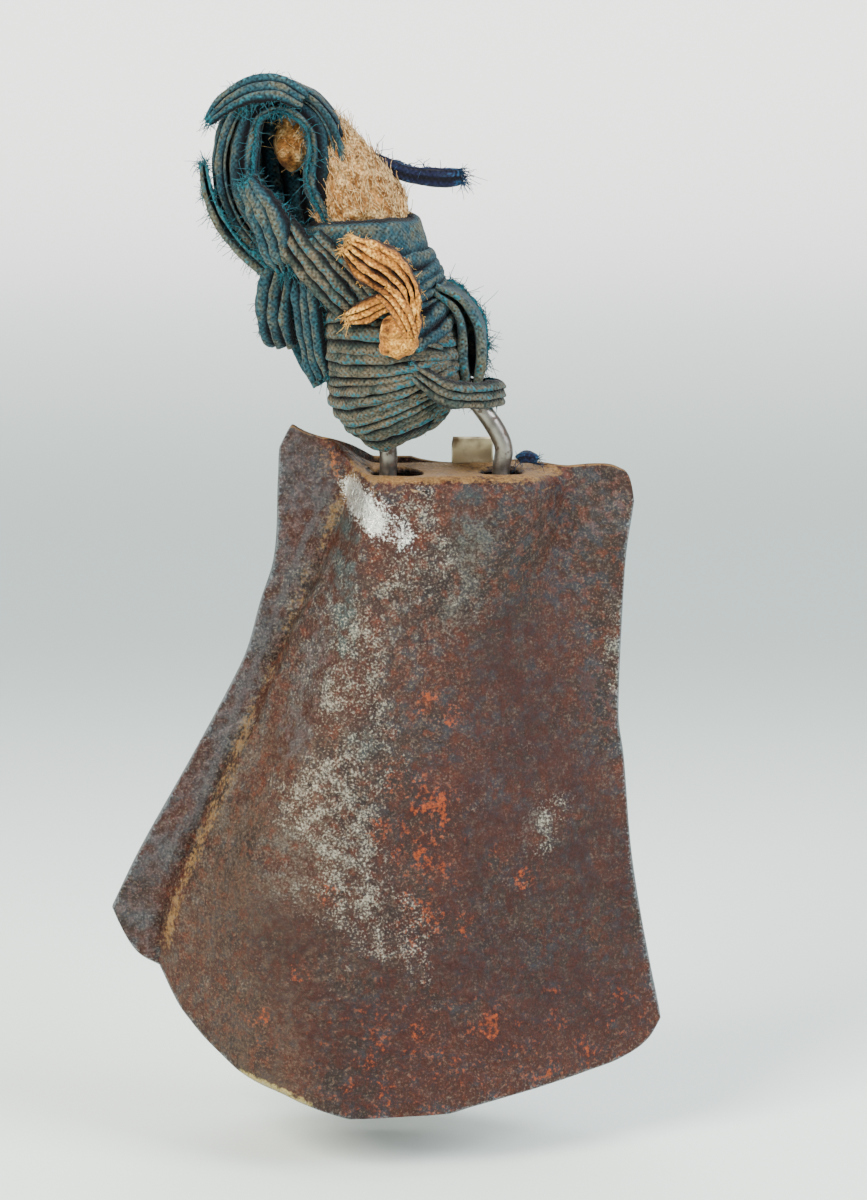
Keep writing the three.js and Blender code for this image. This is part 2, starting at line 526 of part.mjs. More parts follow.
// ---------------------------------------------------------------- origin
// The origin is under the middle of the whole bell, on the surface that it stands on.
bell.updateMatrixWorld(true);
const box = new THREE.Box3().setFromObject(bell, true);
bell.position.set(-(box.min.x + box.max.x) / 2, -(box.min.y + box.max.y) / 2, -box.min.z);

export default bell;
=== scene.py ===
# %% [markdown]
# # A forged iron hand bell with a bound ring handle
#
# The bell is two sheets of iron, one behind the other, swelling apart into a body. An iron ring
# goes through its crown, and strips of blue cotton and a pad of raw fibre are bound round that
# ring as a grip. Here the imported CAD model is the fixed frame: every piece below is made in its
# place and rides on one of its bodies. Sizes are thought of in millimetres, and turned into
# metres only when a mesh is made.
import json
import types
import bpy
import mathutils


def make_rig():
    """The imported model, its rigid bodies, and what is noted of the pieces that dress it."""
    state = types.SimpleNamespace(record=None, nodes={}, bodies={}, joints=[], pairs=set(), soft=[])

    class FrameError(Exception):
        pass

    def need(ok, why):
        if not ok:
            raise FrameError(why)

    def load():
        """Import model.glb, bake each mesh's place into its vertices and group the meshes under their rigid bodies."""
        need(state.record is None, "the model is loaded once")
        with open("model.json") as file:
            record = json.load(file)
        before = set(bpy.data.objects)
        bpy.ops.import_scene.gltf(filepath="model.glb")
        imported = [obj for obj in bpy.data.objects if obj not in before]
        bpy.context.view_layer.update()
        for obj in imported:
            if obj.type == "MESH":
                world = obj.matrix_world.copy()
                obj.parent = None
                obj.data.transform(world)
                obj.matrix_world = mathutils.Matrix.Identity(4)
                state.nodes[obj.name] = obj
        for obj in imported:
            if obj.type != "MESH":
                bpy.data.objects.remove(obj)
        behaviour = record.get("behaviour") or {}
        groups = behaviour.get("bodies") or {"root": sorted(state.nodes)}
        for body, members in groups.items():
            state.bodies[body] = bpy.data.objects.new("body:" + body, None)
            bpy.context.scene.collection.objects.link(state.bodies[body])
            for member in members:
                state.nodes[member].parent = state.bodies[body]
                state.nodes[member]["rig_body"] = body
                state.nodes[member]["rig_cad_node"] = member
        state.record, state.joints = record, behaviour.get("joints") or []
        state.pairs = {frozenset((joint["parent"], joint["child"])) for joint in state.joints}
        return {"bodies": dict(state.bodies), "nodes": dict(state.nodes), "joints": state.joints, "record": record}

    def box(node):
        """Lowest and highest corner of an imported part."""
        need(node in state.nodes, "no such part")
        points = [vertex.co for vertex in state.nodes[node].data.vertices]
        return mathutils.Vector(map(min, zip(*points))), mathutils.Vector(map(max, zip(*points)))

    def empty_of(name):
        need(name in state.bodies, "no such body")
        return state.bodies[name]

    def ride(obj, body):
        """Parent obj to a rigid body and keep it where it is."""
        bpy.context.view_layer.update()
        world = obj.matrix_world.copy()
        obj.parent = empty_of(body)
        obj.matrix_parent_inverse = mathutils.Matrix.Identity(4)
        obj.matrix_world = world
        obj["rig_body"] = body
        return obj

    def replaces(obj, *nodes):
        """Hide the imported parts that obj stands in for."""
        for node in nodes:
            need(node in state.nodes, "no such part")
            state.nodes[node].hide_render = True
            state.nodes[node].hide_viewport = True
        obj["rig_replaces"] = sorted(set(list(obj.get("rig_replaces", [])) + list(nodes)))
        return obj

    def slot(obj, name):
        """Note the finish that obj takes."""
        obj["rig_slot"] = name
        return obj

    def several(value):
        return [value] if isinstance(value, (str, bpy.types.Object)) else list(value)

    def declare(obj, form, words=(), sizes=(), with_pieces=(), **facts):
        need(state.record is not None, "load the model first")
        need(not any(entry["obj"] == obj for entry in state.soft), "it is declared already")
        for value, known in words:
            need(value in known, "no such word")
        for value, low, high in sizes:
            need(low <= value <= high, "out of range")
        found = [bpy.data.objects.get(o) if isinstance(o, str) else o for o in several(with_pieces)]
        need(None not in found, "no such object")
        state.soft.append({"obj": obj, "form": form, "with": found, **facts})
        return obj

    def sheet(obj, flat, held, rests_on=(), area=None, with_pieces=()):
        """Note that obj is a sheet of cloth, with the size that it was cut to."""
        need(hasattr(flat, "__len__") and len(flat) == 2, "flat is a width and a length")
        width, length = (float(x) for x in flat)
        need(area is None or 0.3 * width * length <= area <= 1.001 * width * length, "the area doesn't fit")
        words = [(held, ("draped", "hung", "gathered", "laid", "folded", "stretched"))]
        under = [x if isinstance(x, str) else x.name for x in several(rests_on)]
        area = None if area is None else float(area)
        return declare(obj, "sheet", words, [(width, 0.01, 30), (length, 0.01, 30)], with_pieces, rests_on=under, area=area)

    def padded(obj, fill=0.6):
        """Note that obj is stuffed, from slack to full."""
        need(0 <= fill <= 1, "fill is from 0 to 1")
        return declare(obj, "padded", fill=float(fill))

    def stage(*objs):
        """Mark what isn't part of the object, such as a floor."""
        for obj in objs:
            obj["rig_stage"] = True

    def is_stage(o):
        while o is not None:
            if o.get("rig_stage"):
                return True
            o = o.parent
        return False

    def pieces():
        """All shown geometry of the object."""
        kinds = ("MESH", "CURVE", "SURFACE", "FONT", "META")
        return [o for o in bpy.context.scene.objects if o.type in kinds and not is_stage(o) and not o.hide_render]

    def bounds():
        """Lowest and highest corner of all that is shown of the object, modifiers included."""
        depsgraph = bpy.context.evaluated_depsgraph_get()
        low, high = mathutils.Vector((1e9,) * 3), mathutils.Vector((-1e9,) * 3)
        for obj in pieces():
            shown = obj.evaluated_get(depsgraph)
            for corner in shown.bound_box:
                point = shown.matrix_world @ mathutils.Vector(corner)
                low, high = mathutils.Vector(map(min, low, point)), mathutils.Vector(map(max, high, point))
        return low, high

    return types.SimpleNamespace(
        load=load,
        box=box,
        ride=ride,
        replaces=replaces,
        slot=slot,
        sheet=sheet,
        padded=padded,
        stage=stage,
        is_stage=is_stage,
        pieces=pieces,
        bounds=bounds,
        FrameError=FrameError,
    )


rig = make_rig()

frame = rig.load()
cad_low, cad_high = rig.bounds()

import json
import math
import bmesh
import bpy
import numpy as np
from mathutils import Vector

MM = 0.001
print("bodies", sorted(frame["bodies"]))
print("box of the frame in mm", [round(v / MM, 1) for v in (*cad_low, *cad_high)])

# %% [markdown]
# ## Places taken from the frame
#
# The crown is the flat top of the body, and nearly everything is measured from it. The strap
# stands 6 mm above it, so the top of the strap's box gives its height. The middle of the link
# gives how far the frame was moved sideways to stand over its own middle.

# %% Where the crown is
STRAP_RISE = 6
STRAP_X = 17.6
_, strap_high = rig.box("hanger_strap")
link_low, link_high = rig.box("clapper_link")
CROWN = strap_high.z / MM - STRAP_RISE
SHIFT = (link_low.x + link_high.x) / 2 / MM - STRAP_X
print("crown height", round(CROWN, 2), "mm, moved sideways by", round(SHIFT, 2), "mm")

# %% [markdown]
# ## The camera
#
# A hand bell is best shown from a little above, with a long lens a metre away, so that its
# outline keeps its real proportions. The camera looks along +Y and 12 degrees down.

# %% The camera
ELEVATION = math.radians(12)
DISTANCE = 1.1
TARGET = (0.0112, 0.0, 0.1210)

camera_data = bpy.data.cameras.new("studio_camera")
camera_data.lens = 137.5
camera_data.sensor_width = 36
camera_data.clip_end = 20
camera = bpy.data.objects.new("studio_camera", camera_data)
camera.location = (
    TARGET[0],
    TARGET[1] - DISTANCE * math.cos(ELEVATION),
    TARGET[2] + DISTANCE * math.sin(ELEVATION),
)
camera.rotation_euler = (math.pi / 2 - ELEVATION, 0, 0)
bpy.context.scene.collection.objects.link(camera)
bpy.context.scene.camera = camera
print("camera at", [round(v, 3) for v in camera.location])

# %% [markdown]
# ## Small tools
#
# A few helpers do the work that repeats. `along` draws a smooth curve through a short list of
# places and values, which is how a smith's outline is easiest to write down. `bumps` gives soft
# random hills of a chosen size in millimetres. `build` turns points and faces into an object,
# and `dress` gives it its finish and its body. `add` puts one node into a material, with its
# settings and links, and `linear` turns a colour code into the numbers that a shader wants.

# %% Curves, bumps and meshes
def along(table, place):
    """A smooth curve through [place, value] pairs, level where the values turn back."""
    xs = np.array([row[0] for row in table], float)
    ys = np.array([row[1] for row in table], float)
    slopes = np.diff(ys) / np.diff(xs)
    tangents = np.concatenate([slopes[:1], (slopes[:-1] + slopes[1:]) / 2, slopes[-1:]])
    tangents[1:-1][slopes[:-1] * slopes[1:] <= 0] = 0
    place = np.asarray(place, float)
    i = np.clip(np.searchsorted(xs, place, side="right") - 1, 0, len(xs) - 2)
    step = xs[i + 1] - xs[i]
    t = np.clip((place - xs[i]) / step, 0, 1)
    start = (2 * t**3 - 3 * t**2 + 1) * ys[i] + (t**3 - 2 * t**2 + t) * step * tangents[i]
    return start + (3 * t**2 - 2 * t**3) * ys[i + 1] + (t**3 - t**2) * step * tangents[i + 1]


def ease(value, low, high):
    t = np.clip((np.asarray(value, float) - low) / (high - low), 0, 1)
    return t * t * (3 - 2 * t)


def mix(a, b, t):
    return a + (b - a) * t


def bumps(points, size, seed=0):
    """Soft random values from -1 to 1 at points in mm, with about one hill in each size mm."""
    shape = points.shape[:-1]
    p = points.reshape(-1, 3) / size + 31.7 * (seed + 1)
    base = np.floor(p).astype(np.int64)
    f = p - base
    f = f * f * (3 - 2 * f)
    total = np.zeros(len(p))
    for corner in np.ndindex(2, 2, 2):
        c = (base + corner) & 0xFFFF
        h = (c[:, 0] * 73856093) ^ (c[:, 1] * 19349663) ^ (c[:, 2] * 83492791)
        h = ((h ^ (h >> 13)) * 1274126177) & 0x7FFFFFFF
        h = ((h ^ (h >> 16)) & 0xFFFF) / 32767.5 - 1
        weight = np.prod(np.where(corner, f, 1 - f), axis=1)
        total += weight * h
    return total.reshape(shape)


def build(name, points, faces, uv=None, marks=None):
    """An object from points in mm. uv and marks give a value for each point."""
    mesh = bpy.data.meshes.new(name)
    mesh.from_pydata((np.asarray(points).reshape(-1, 3) * MM).tolist(), [], faces)
    for key, values in (marks or {}).items():
        layer = mesh.attributes.new(key, "FLOAT", "POINT")
        layer.data.foreach_set("value", np.asarray(values, np.float32).ravel())
    if uv is not None:
        corners = np.zeros(len(mesh.loops), np.int32)
        mesh.loops.foreach_get("vertex_index", corners)
        flat = np.asarray(uv, np.float32).reshape(-1, 2)[corners]
        mesh.uv_layers.new(name="UVMap").data.foreach_set("uv", flat.ravel())
    mesh.shade_smooth()
    obj = bpy.data.objects.new(name, mesh)
    bpy.context.scene.collection.objects.link(obj)
    return obj


def quads(rows, columns, closed=False):
    """Faces of a grid of points, row after row. closed joins the last column to the first."""
    across = np.arange(columns if closed else columns - 1)
    j, i = np.meshgrid(np.arange(rows - 1), across, indexing="ij")
    right = (i + 1) % columns
    faces = [j * columns + i, j * columns + right, (j + 1) * columns + right, (j + 1) * columns + i]
    return np.stack(faces, -1).reshape(-1, 4).tolist()


def settle(obj):
    """Applies the modifiers, so that the mesh itself holds the final shape."""
    evaluated = obj.evaluated_get(bpy.context.evaluated_depsgraph_get())
    final = bpy.data.meshes.new_from_object(evaluated)
    obj.modifiers.clear()
    obj.data = final
    return obj


def dress(obj, finish, body, slot, *nodes):
    """Gives a piece its finish, its body, its slot in the record and the CAD nodes it stands for."""
    obj.data.materials.clear()
    obj.data.materials.append(finish)
    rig.ride(obj, body)
    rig.slot(obj, slot)
    if nodes:
        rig.replaces(obj, *nodes)
    print(obj.name, len(obj.data.polygons), "faces")
    return obj


def add(tree, kind, inputs=None, **settings):
    """Adds one node. An input is a value, or the output of another node to link to it."""
    node = tree.nodes.new("ShaderNode" + kind)
    for key, value in settings.items():
        setattr(node, key, value)
    for key, value in (inputs or {}).items():
        if isinstance(value, bpy.types.NodeSocket):
            tree.links.new(value, node.inputs[key])
        else:
            node.inputs[key].default_value = value
    return node


def linear(code):
    """An sRGB hex colour as the linear colour that a shader wants."""
    parts = [int(code[k:k + 2], 16) / 255 for k in (1, 3, 5)]
    return [p / 12.92 if p <= 0.04045 else ((p + 0.055) / 1.055) ** 2.4 for p in parts] + [1]


print("a middle grey, #808080, is", round(linear("#808080")[0], 3), "in linear light")


# %% [markdown]
# ## The finish of the body: old forged iron
#
# Hammered sheet iron keeps a dark skin of scale. Handling polishes it, damp turns it to brown
# and orange rust, and where it rubs the bare metal shows as pale specks. So the material starts
# from a nearly black ground. Tones of brown and grey lie over all of it in grains from 30 mm
# down to half a millimetre. Then come the kinds of wear, each with a colour and a mask: a mark
# painted on the mesh says roughly where, and noise of the grain's own size breaks it up. A few
# of the same layers also carry painted light: painted shade in the crease beside the wing, and
# painted highlights on the bare patch at the top left and along the edges. Scale and rust are
# hardly metallic, and bare iron is, so the metallic value follows the masks too.

# %% Rusted iron
# How wide one grain is, in mm.
GRAINS = {"wide": 30, "mottle": 9, "patch": 4.2, "rust": 2.2, "specks": 1.0, "fine": 0.55}
RELIEF = (("mottle", 1.0), ("patch", 0.5), ("rust", 0.2), ("fine", 0.1))  # mm deep
MASK_SHIFT = 0.6  # what the two grains in a mask add to it on average
SKIN = [
    ("mottle", 0.2, 0.8, "#30221c", 1.0), ("wide", 0.3, 0.7, "#3b1d15", 0.85),
    ("patch", 0.4, 0.8, "#2b2c30", 0.85), ("rust", 0.45, 0.9, "#5e2c18", 0.55),
    ("specks", 0.55, 0.95, "#5b4f43", 0.5), ("fine", 0.6, 0.95, "#6b5c4c", 0.4),
]
LAYERS = [
    ("pale", "specks", 0.0, 0.8, "#4d3a2c", 0.6, 0.2, 0.75),
    ("wing", "rust", 0.1, 0.9, "#484648", 0.45, 0.25, 0.7),
    ("red", "rust", 0.1, 0.9, "#2c100c", 0.6, 0.15, 0.9),
    ("green", "rust", 0.1, 0.8, "#2b4040", 0.4, 0.25, 0.75),
    # A tan line along the valley, and dust on the top face of the crown.
    ("tan_and_dust", "specks", 0.2, 0.8, "#8a683c", 0.8, 0.1, 0.75),
    ("grey", "fine", 0.2, 0.9, "#57524a", 0.5, 0.4, 0.8),
    ("worn", "fine", 0.25, 0.85, "#969080", 0.38, 0.5, 0.85),
    ("orange", "specks", 0.3, 0.75, "#93421c", 0.85, 0.05, 0.8),
    ("crust", "rust", 0.1, 0.6, "#a3935c", 0.9, 0.0, 0.85),
    # Bare metal at the top left shoulder, which is also a painted highlight there.
    ("bare_and_highlight", "fine", 0.2, 0.7, "#dcdad2", 0.26, 0.9, 0.95),
    # A rubbed rim along the edges, which is also a painted highlight.
    ("edge", "fine", 0.2, 0.8, "#6d7679", 0.4, 0.6, 0.6),
]


def new_material(name):
    material = bpy.data.materials.new(name)
    material.use_nodes = True
    tree = material.node_tree
    return material, tree, tree.nodes["Principled BSDF"]


def rusted_iron(name, ground, skin, layers):
    """Scale, rust and bare metal. A skin row is grain, low, high, colour, strength. A layer row
    is mark, grain, low, high, colour, roughness, metallic, strength."""
    material, tree, shader = new_material(name)
    coords = add(tree, "TexCoord").outputs["Object"]
    grains = {}
    for key, size in GRAINS.items():
        inputs = {"Vector": coords, "Scale": 1 / (size * MM), "Detail": 4.0, "Roughness": 0.6}
        noise = add(tree, "TexNoise", inputs).outputs["Fac"]
        inputs = {"Value": noise, "From Min": 0.3, "From Max": 0.7}
        grains[key] = add(tree, "MapRange", inputs).outputs[0]
    colour = linear(ground)
    for grain, low, high, code, strength in skin:
        inputs = {"Value": grains[grain], "From Min": low, "From Max": high, "To Max": strength}
        mask = add(tree, "MapRange", inputs, interpolation_type="SMOOTHSTEP").outputs[0]
        colour = add(tree, "Mix", {0: mask, 6: colour, 7: linear(code)}, data_type="RGBA").outputs[2]
    inputs = {"Value": grains["fine"], "To Min": 0.42, "To Max": 0.66}
    rough = add(tree, "MapRange", inputs).outputs[0]
    metal = 0.2
    for mark, grain, low, high, code, roughness, metallic, strength in layers:
        painted = add(tree, "Attribute", attribute_name=mark).outputs["Fac"]
        inputs = {0: grains[grain], 1: 0.7, 2: painted}
        broken = add(tree, "Math", inputs, operation="MULTIPLY_ADD").outputs[0]
        inputs = {0: grains["patch"], 1: 0.5, 2: broken}
        broken = add(tree, "Math", inputs, operation="MULTIPLY_ADD").outputs[0]
        limits = {"From Min": low + MASK_SHIFT, "From Max": high + MASK_SHIFT, "To Max": strength}
        inputs = {"Value": broken, **limits}
        mask = add(tree, "MapRange", inputs, interpolation_type="SMOOTHSTEP").outputs[0]
        inputs = {"Value": painted, "From Min": 0.02, "From Max": 0.2}
        inside = add(tree, "MapRange", inputs).outputs[0]
        mask = add(tree, "Math", {0: mask, 1: inside}, operation="MULTIPLY").outputs[0]
        colour = add(tree, "Mix", {0: mask, 6: colour, 7: linear(code)}, data_type="RGBA").outputs[2]
        rough = add(tree, "Mix", {0: mask, 2: rough, 3: roughness}).outputs[0]
        metal = add(tree, "Mix", {0: mask, 2: metal, 3: metallic}).outputs[0]
    shade = add(tree, "MapRange", {"Value": grains["fine"], "To Min": 0.6, "To Max": 1.3}).outputs[0]
    inputs = {0: 1.0, 6: colour, 7: shade}
    colour = add(tree, "Mix", inputs, data_type="RGBA", blend_type="MULTIPLY").outputs[2]
    tree.links.new(colour, shader.inputs["Base Color"])
    tree.links.new(rough, shader.inputs["Roughness"])
    tree.links.new(metal, shader.inputs["Metallic"])
    shader.inputs["Specular IOR Level"].default_value = 0.25
    relief = None
    for grain, depth in RELIEF:
        inputs = {"Height": grains[grain], "Strength": 0.7, "Distance": depth * MM}
        if relief:
            inputs["Normal"] = relief
        relief = add(tree, "Bump", inputs).outputs[0]
    tree.links.new(relief, shader.inputs["Normal"])
    return material


body_iron = rusted_iron("rusted_sheet_iron", "#241a18", SKIN, LAYERS)
print("rusted iron with", len(SKIN), "tones of skin and", len(LAYERS), "kinds of wear")


# %% [markdown]
# ## The two sheets of the body
#
# The smith cut two sheets to one outline, laid them together, and beat the bulge out of each.
# They still lie flat on each other along the wide left wing and the right edge. The front one
# folds back at the top to close the body as a crown. It could be modelled as a block and cut
# hollow, but a real sheet has one thickness everywhere, so each sheet here is a grid of points
# in the middle of the metal, and the two faces and a rounded rim are laid on either side of it.
# The outlines are lists of height or place against a part of the width or of the height.

# %% Outlines
BODY_WIDTH = 133.5
MOUTH_DEPTH = 56.0
CROWN_DEPTH = 25.0
SHEET = 1.4
LAP_GAP = 0.4  # between the two sheets where they lie together
CREASE_RADIUS = 3.0
CROWN_SAG = 0.8
GUSSET_TUCK = 3.2
EAR_RISE = 0.02  # the smallest height of the part above the crease, as a part of the crown's
BACK_TOP = 1.006

WING_EDGE = [
    [0.294, -0.524], [0.382, -0.476], [0.531, -0.381], [0.653, -0.306], [0.706, -0.277],
    [0.788, -0.25], [0.855, -0.226], [0.99, -0.216], [1.04, -0.212], [1.08, -0.196],
]
VALLEY = [
    [0, -0.444], [0.196, -0.436], [0.269, -0.43], [0.369, -0.39], [0.494, -0.331],
    [0.63, -0.253], [0.733, -0.203], [0.85, -0.139], [0.985, -0.094], [1.06, -0.145],
]
RIGHT_EDGE = [
    [0, 0.49], [0.105, 0.479], [0.199, 0.458], [0.282, 0.44], [0.39, 0.421],
    [0.541, 0.406], [0.611, 0.396], [0.765, 0.401], [0.871, 0.408], [0.961, 0.422], [1.02, 0.424],
]
LIP = [
    [0, 0.196], [0.054, 0.131], [0.154, 0.063], [0.26, 0.03], [0.36, 0.003], [0.4, -0.005],
    [0.54, -0.005], [0.62, 0.008], [0.75, 0.026], [0.85, 0.039], [0.916, 0.052], [0.97, 0.078],
    [1, 0.11],
]
TOP_EDGE = [
    [0, 1.05], [0.1, 1.046], [0.2, 1.01], [0.6, 1], [0.75, 1.004], [0.87, 1.008],
    [0.94, 1.002], [0.98, 0.985], [1, 0.95],
]
WING_LIP = [[0, 0.294], [0.12, 0.27], [0.45, 0.225], [1, 0.196]]
WING_TOP = [[0, 1.035], [0.18, 1.07], [0.45, 1.064], [1, 1.05]]
RIDGE = [[0, 0.4], [0.45, 0.31], [0.75, 0.24], [1, 0.2]]


def bulge(place, height):
    """How far a sheet stands out at a place across it: 0 at its borders and 1 at the ridge."""
    ridge = along(RIDGE, np.clip(height, 0, 1))
    edge = mix(1, 0.86, ease(height, 0.5, 1))
    rise = np.sin(np.clip(place / ridge, 0, 1) * np.pi / 2) ** 0.9
    fallen = np.cos(np.clip((place - ridge) / (edge - ridge), 0, 1) * np.pi / 2) ** 1.15
    low = np.where(place < ridge, rise, fallen)
    high = ease(place, 0, 0.1) * (1 - ease(place, 0.6, 0.78))
    return mix(low, high, ease(height, 0.7, 1))


def middle_of_sheet(side, place, panel, top):
    """Points in the middle of a sheet. side is -1 in front and 1 behind. place runs from -1 at
    the wing's free edge, through 0 in the valley, to 1 at the right edge. panel rises from 0 at
    the lip to 1 at the crease, and top then from 0 to 1 across the crown."""
    wing = place < 0
    across = np.abs(place)
    lip = np.where(wing, along(WING_LIP, place + 1), along(LIP, place))
    ear = np.where(wing, along(WING_TOP, place + 1), along(TOP_EDGE, place))
    is_crown = np.where(wing, 0, bulge(place, 1.0))
    if side > 0:
        ear = mix(ear, np.minimum(ear, BACK_TOP), is_crown)
    low = np.minimum(1 - CREASE_RADIUS / CROWN, ear - EAR_RISE)
    height = np.where(top > 0, mix(low, ear, top), mix(lip, low, panel))

    def sideways(h):
        far = np.where(wing, along(WING_EDGE, h), along(RIGHT_EDGE, h))
        return mix(along(VALLEY, h), far, across)

    x = BODY_WIDTH * mix(sideways(height), sideways(np.minimum(height, low)), is_crown)
    lapped = (SHEET + LAP_GAP) / 2
    depth = mix(MOUTH_DEPTH, CROWN_DEPTH, np.minimum(height, 1)) / 2 - lapped
    swell = np.where(wing, 0, bulge(place, np.minimum(height, 1)))
    y = side * (lapped + depth * swell)
    if side > 0:
        return np.stack([x + SHIFT, y, CROWN * height], -1), swell
    turn = np.minimum(top * 3, 1) * np.pi / 2
    flat = np.maximum(top * 3 - 1, 0) / 2
    tuck = GUSSET_TUCK * 4 * is_crown * (1 - is_crown)
    reach = CROWN_DEPTH - SHEET - 2 * LAP_GAP - CREASE_RADIUS - tuck
    crown_y = -lapped - depth + CREASE_RADIUS * (1 - np.cos(turn)) + reach * flat
    fall = CROWN_SAG * np.sin(flat * np.pi) + CREASE_RADIUS * (1 - np.sin(turn))
    crown_z = CROWN - SHEET / 2 - fall
    y = np.where(top > 0, mix(-lapped, crown_y, is_crown), y)
    z = np.where(top > 0, mix(CROWN * height, crown_z, is_crown), CROWN * height)
    return np.stack([x + SHIFT, y, z], -1), np.where(top > 0, is_crown, swell)


print("body", BODY_WIDTH, "mm wide,", MOUTH_DEPTH, "mm deep at its mouth and", CROWN_DEPTH, "at its crown")

# %% [markdown]
# ## Hammering and dents
#
# A beaten sheet is never even. Broad dents of a few centimetres come from shaping it, small
# facets of about a centimetre from the hammer's face, and fine pits from rust. Where the two
# sheets lie together they were beaten together, so there both move by the same amount and keep
# the gap between them. The front also has a lapped seam and a few cracks on its wing.

# %% Relief of a sheet
SEAM = [(-33.0, 93.4), (-37.5, 91.6), (-42.6, 89.0)]
CRACKS = [
    [(-41.6, 89.4), (-42.4, 86.0), (-42.8, 83.0), (-44.2, 81.0)],
    [(-31.6, 109.2), (-29.4, 108.8)],
    [(-16.8, 150.6), (-15.2, 151.6)],
]
FURROW = [(12.0, 118.0), (8.0, 100.0), (3.5, 84.0), (3.0, 66.0), (6.0, 48.0)]
STRUCK = [(33, 30), (35, 62)]
HOLES = ((-0.4, 11.4), (24.4, 9.0))  # how far to the right each hole is, and its diameter
HOLE_RIM = 2.2  # mm of sheet round a hole that was dented when it was punched
SMALLEST = 1e-6  # keeps a division by a length away from zero


def distance(points, line):
    """How far each point, seen from the front, lies from a line of (x, z) corners."""
    best = np.full(points.shape[:-1], 1e9)
    xz = points[..., (0, 2)]
    for a, b in zip(line[:-1], line[1:]):
        a, b = np.array(a), np.array(b)
        t = np.clip(((xz - a) @ (b - a)) / ((b - a) @ (b - a)), 0, 1)
        best = np.minimum(best, np.linalg.norm(xz - a - t[..., None] * (b - a), axis=-1))
    return best


def near(points, line, width):
    return np.exp(-((distance(points, line) / width) ** 2))


def normals_of(grid):
    across = np.gradient(grid, axis=1)
    up = np.gradient(grid, axis=0)
    n = np.cross(across, up)
    return n / np.maximum(np.linalg.norm(n, axis=-1, keepdims=True), 1e-9)


def unit(vectors):
    """The same vectors, all one long."""
    return vectors / np.maximum(np.linalg.norm(vectors, axis=-1, keepdims=True), SMALLEST)


def beaten(side, columns, rows, top_rows):
    """The middle of one sheet, with its dents."""
    wing_columns = columns // 5
    even = np.linspace(0, 1, columns)
    places = np.concatenate([np.linspace(-1, 0, wing_columns, endpoint=False),
                             even - 0.075 * np.sin(2 * np.pi * even)])
    panel = np.concatenate([np.linspace(0, 1, rows), np.ones(top_rows)])
    top = np.concatenate([np.zeros(rows), np.linspace(0, 1, top_rows + 1)[1:]])
    place, panel = np.meshgrid(places, panel)
    top = np.broadcast_to(top[:, None], place.shape)
    grid, swell = middle_of_sheet(side, place, panel, top)
    free = ease(swell, 0.02, 0.35)[..., None]
    shared = grid * (1, 0, 1)
    together = 0.9 * bumps(shared, 34, 1) + 0.3 * bumps(shared, 11, 2)
    at_right_edge = 0.25 * bumps(shared, 16, 3) * ease(place, 0.85, 1)
    together = together * ease(-place, 0.0, 0.3) + at_right_edge
    own = 1.0 * bumps(grid, 30, 4 + side) + 0.5 * bumps(grid, 13, 6 + side) + 0.2 * bumps(grid, 6, 8)
    height = grid[..., 2] / CROWN
    upright = ease(height, 0.1, 0.3) * (1 - ease(top, 0, 0.2))
    roll = np.exp(-(((place - 0.03) / 0.018) ** 2)) - 0.9 * np.exp(-(((place - 0.1) / 0.035) ** 2))
    own = own + 0.75 * roll * upright * (place > 0)
    own = own + 1.1 * near(grid, STRUCK, 16)
    if side < 0:
        own = own - 0.9 * near(grid, FURROW, 5.0) * (1 - ease(top, 0, 0.1))
    calm = 1 - 0.75 * ease(top, 0, 0.3)
    normal = normals_of(grid) * (1 if side < 0 else -1)
    grid = grid + normal * (own * calm)[..., None] * free
    grid[..., 1] += together
    if side < 0:
        below = ease(-(grid[..., 2] - 90.5 - 0.5 * (grid[..., 0] + 37.5)), 0, 0.9)
        reach = np.exp(-((distance(grid, SEAM) / 9) ** 2)) * (place < 0.02)
        grid[..., 1] -= 0.55 * below * reach
        for centre, diameter in HOLES:
            away = np.hypot(grid[..., 0] - SHIFT - centre, grid[..., 1])
            dish = np.exp(-((away / (diameter / 2 + HOLE_RIM)) ** 2))
            grid[..., 2] -= 0.15 * dish * ease(top, 0.3, 0.5)
    return grid


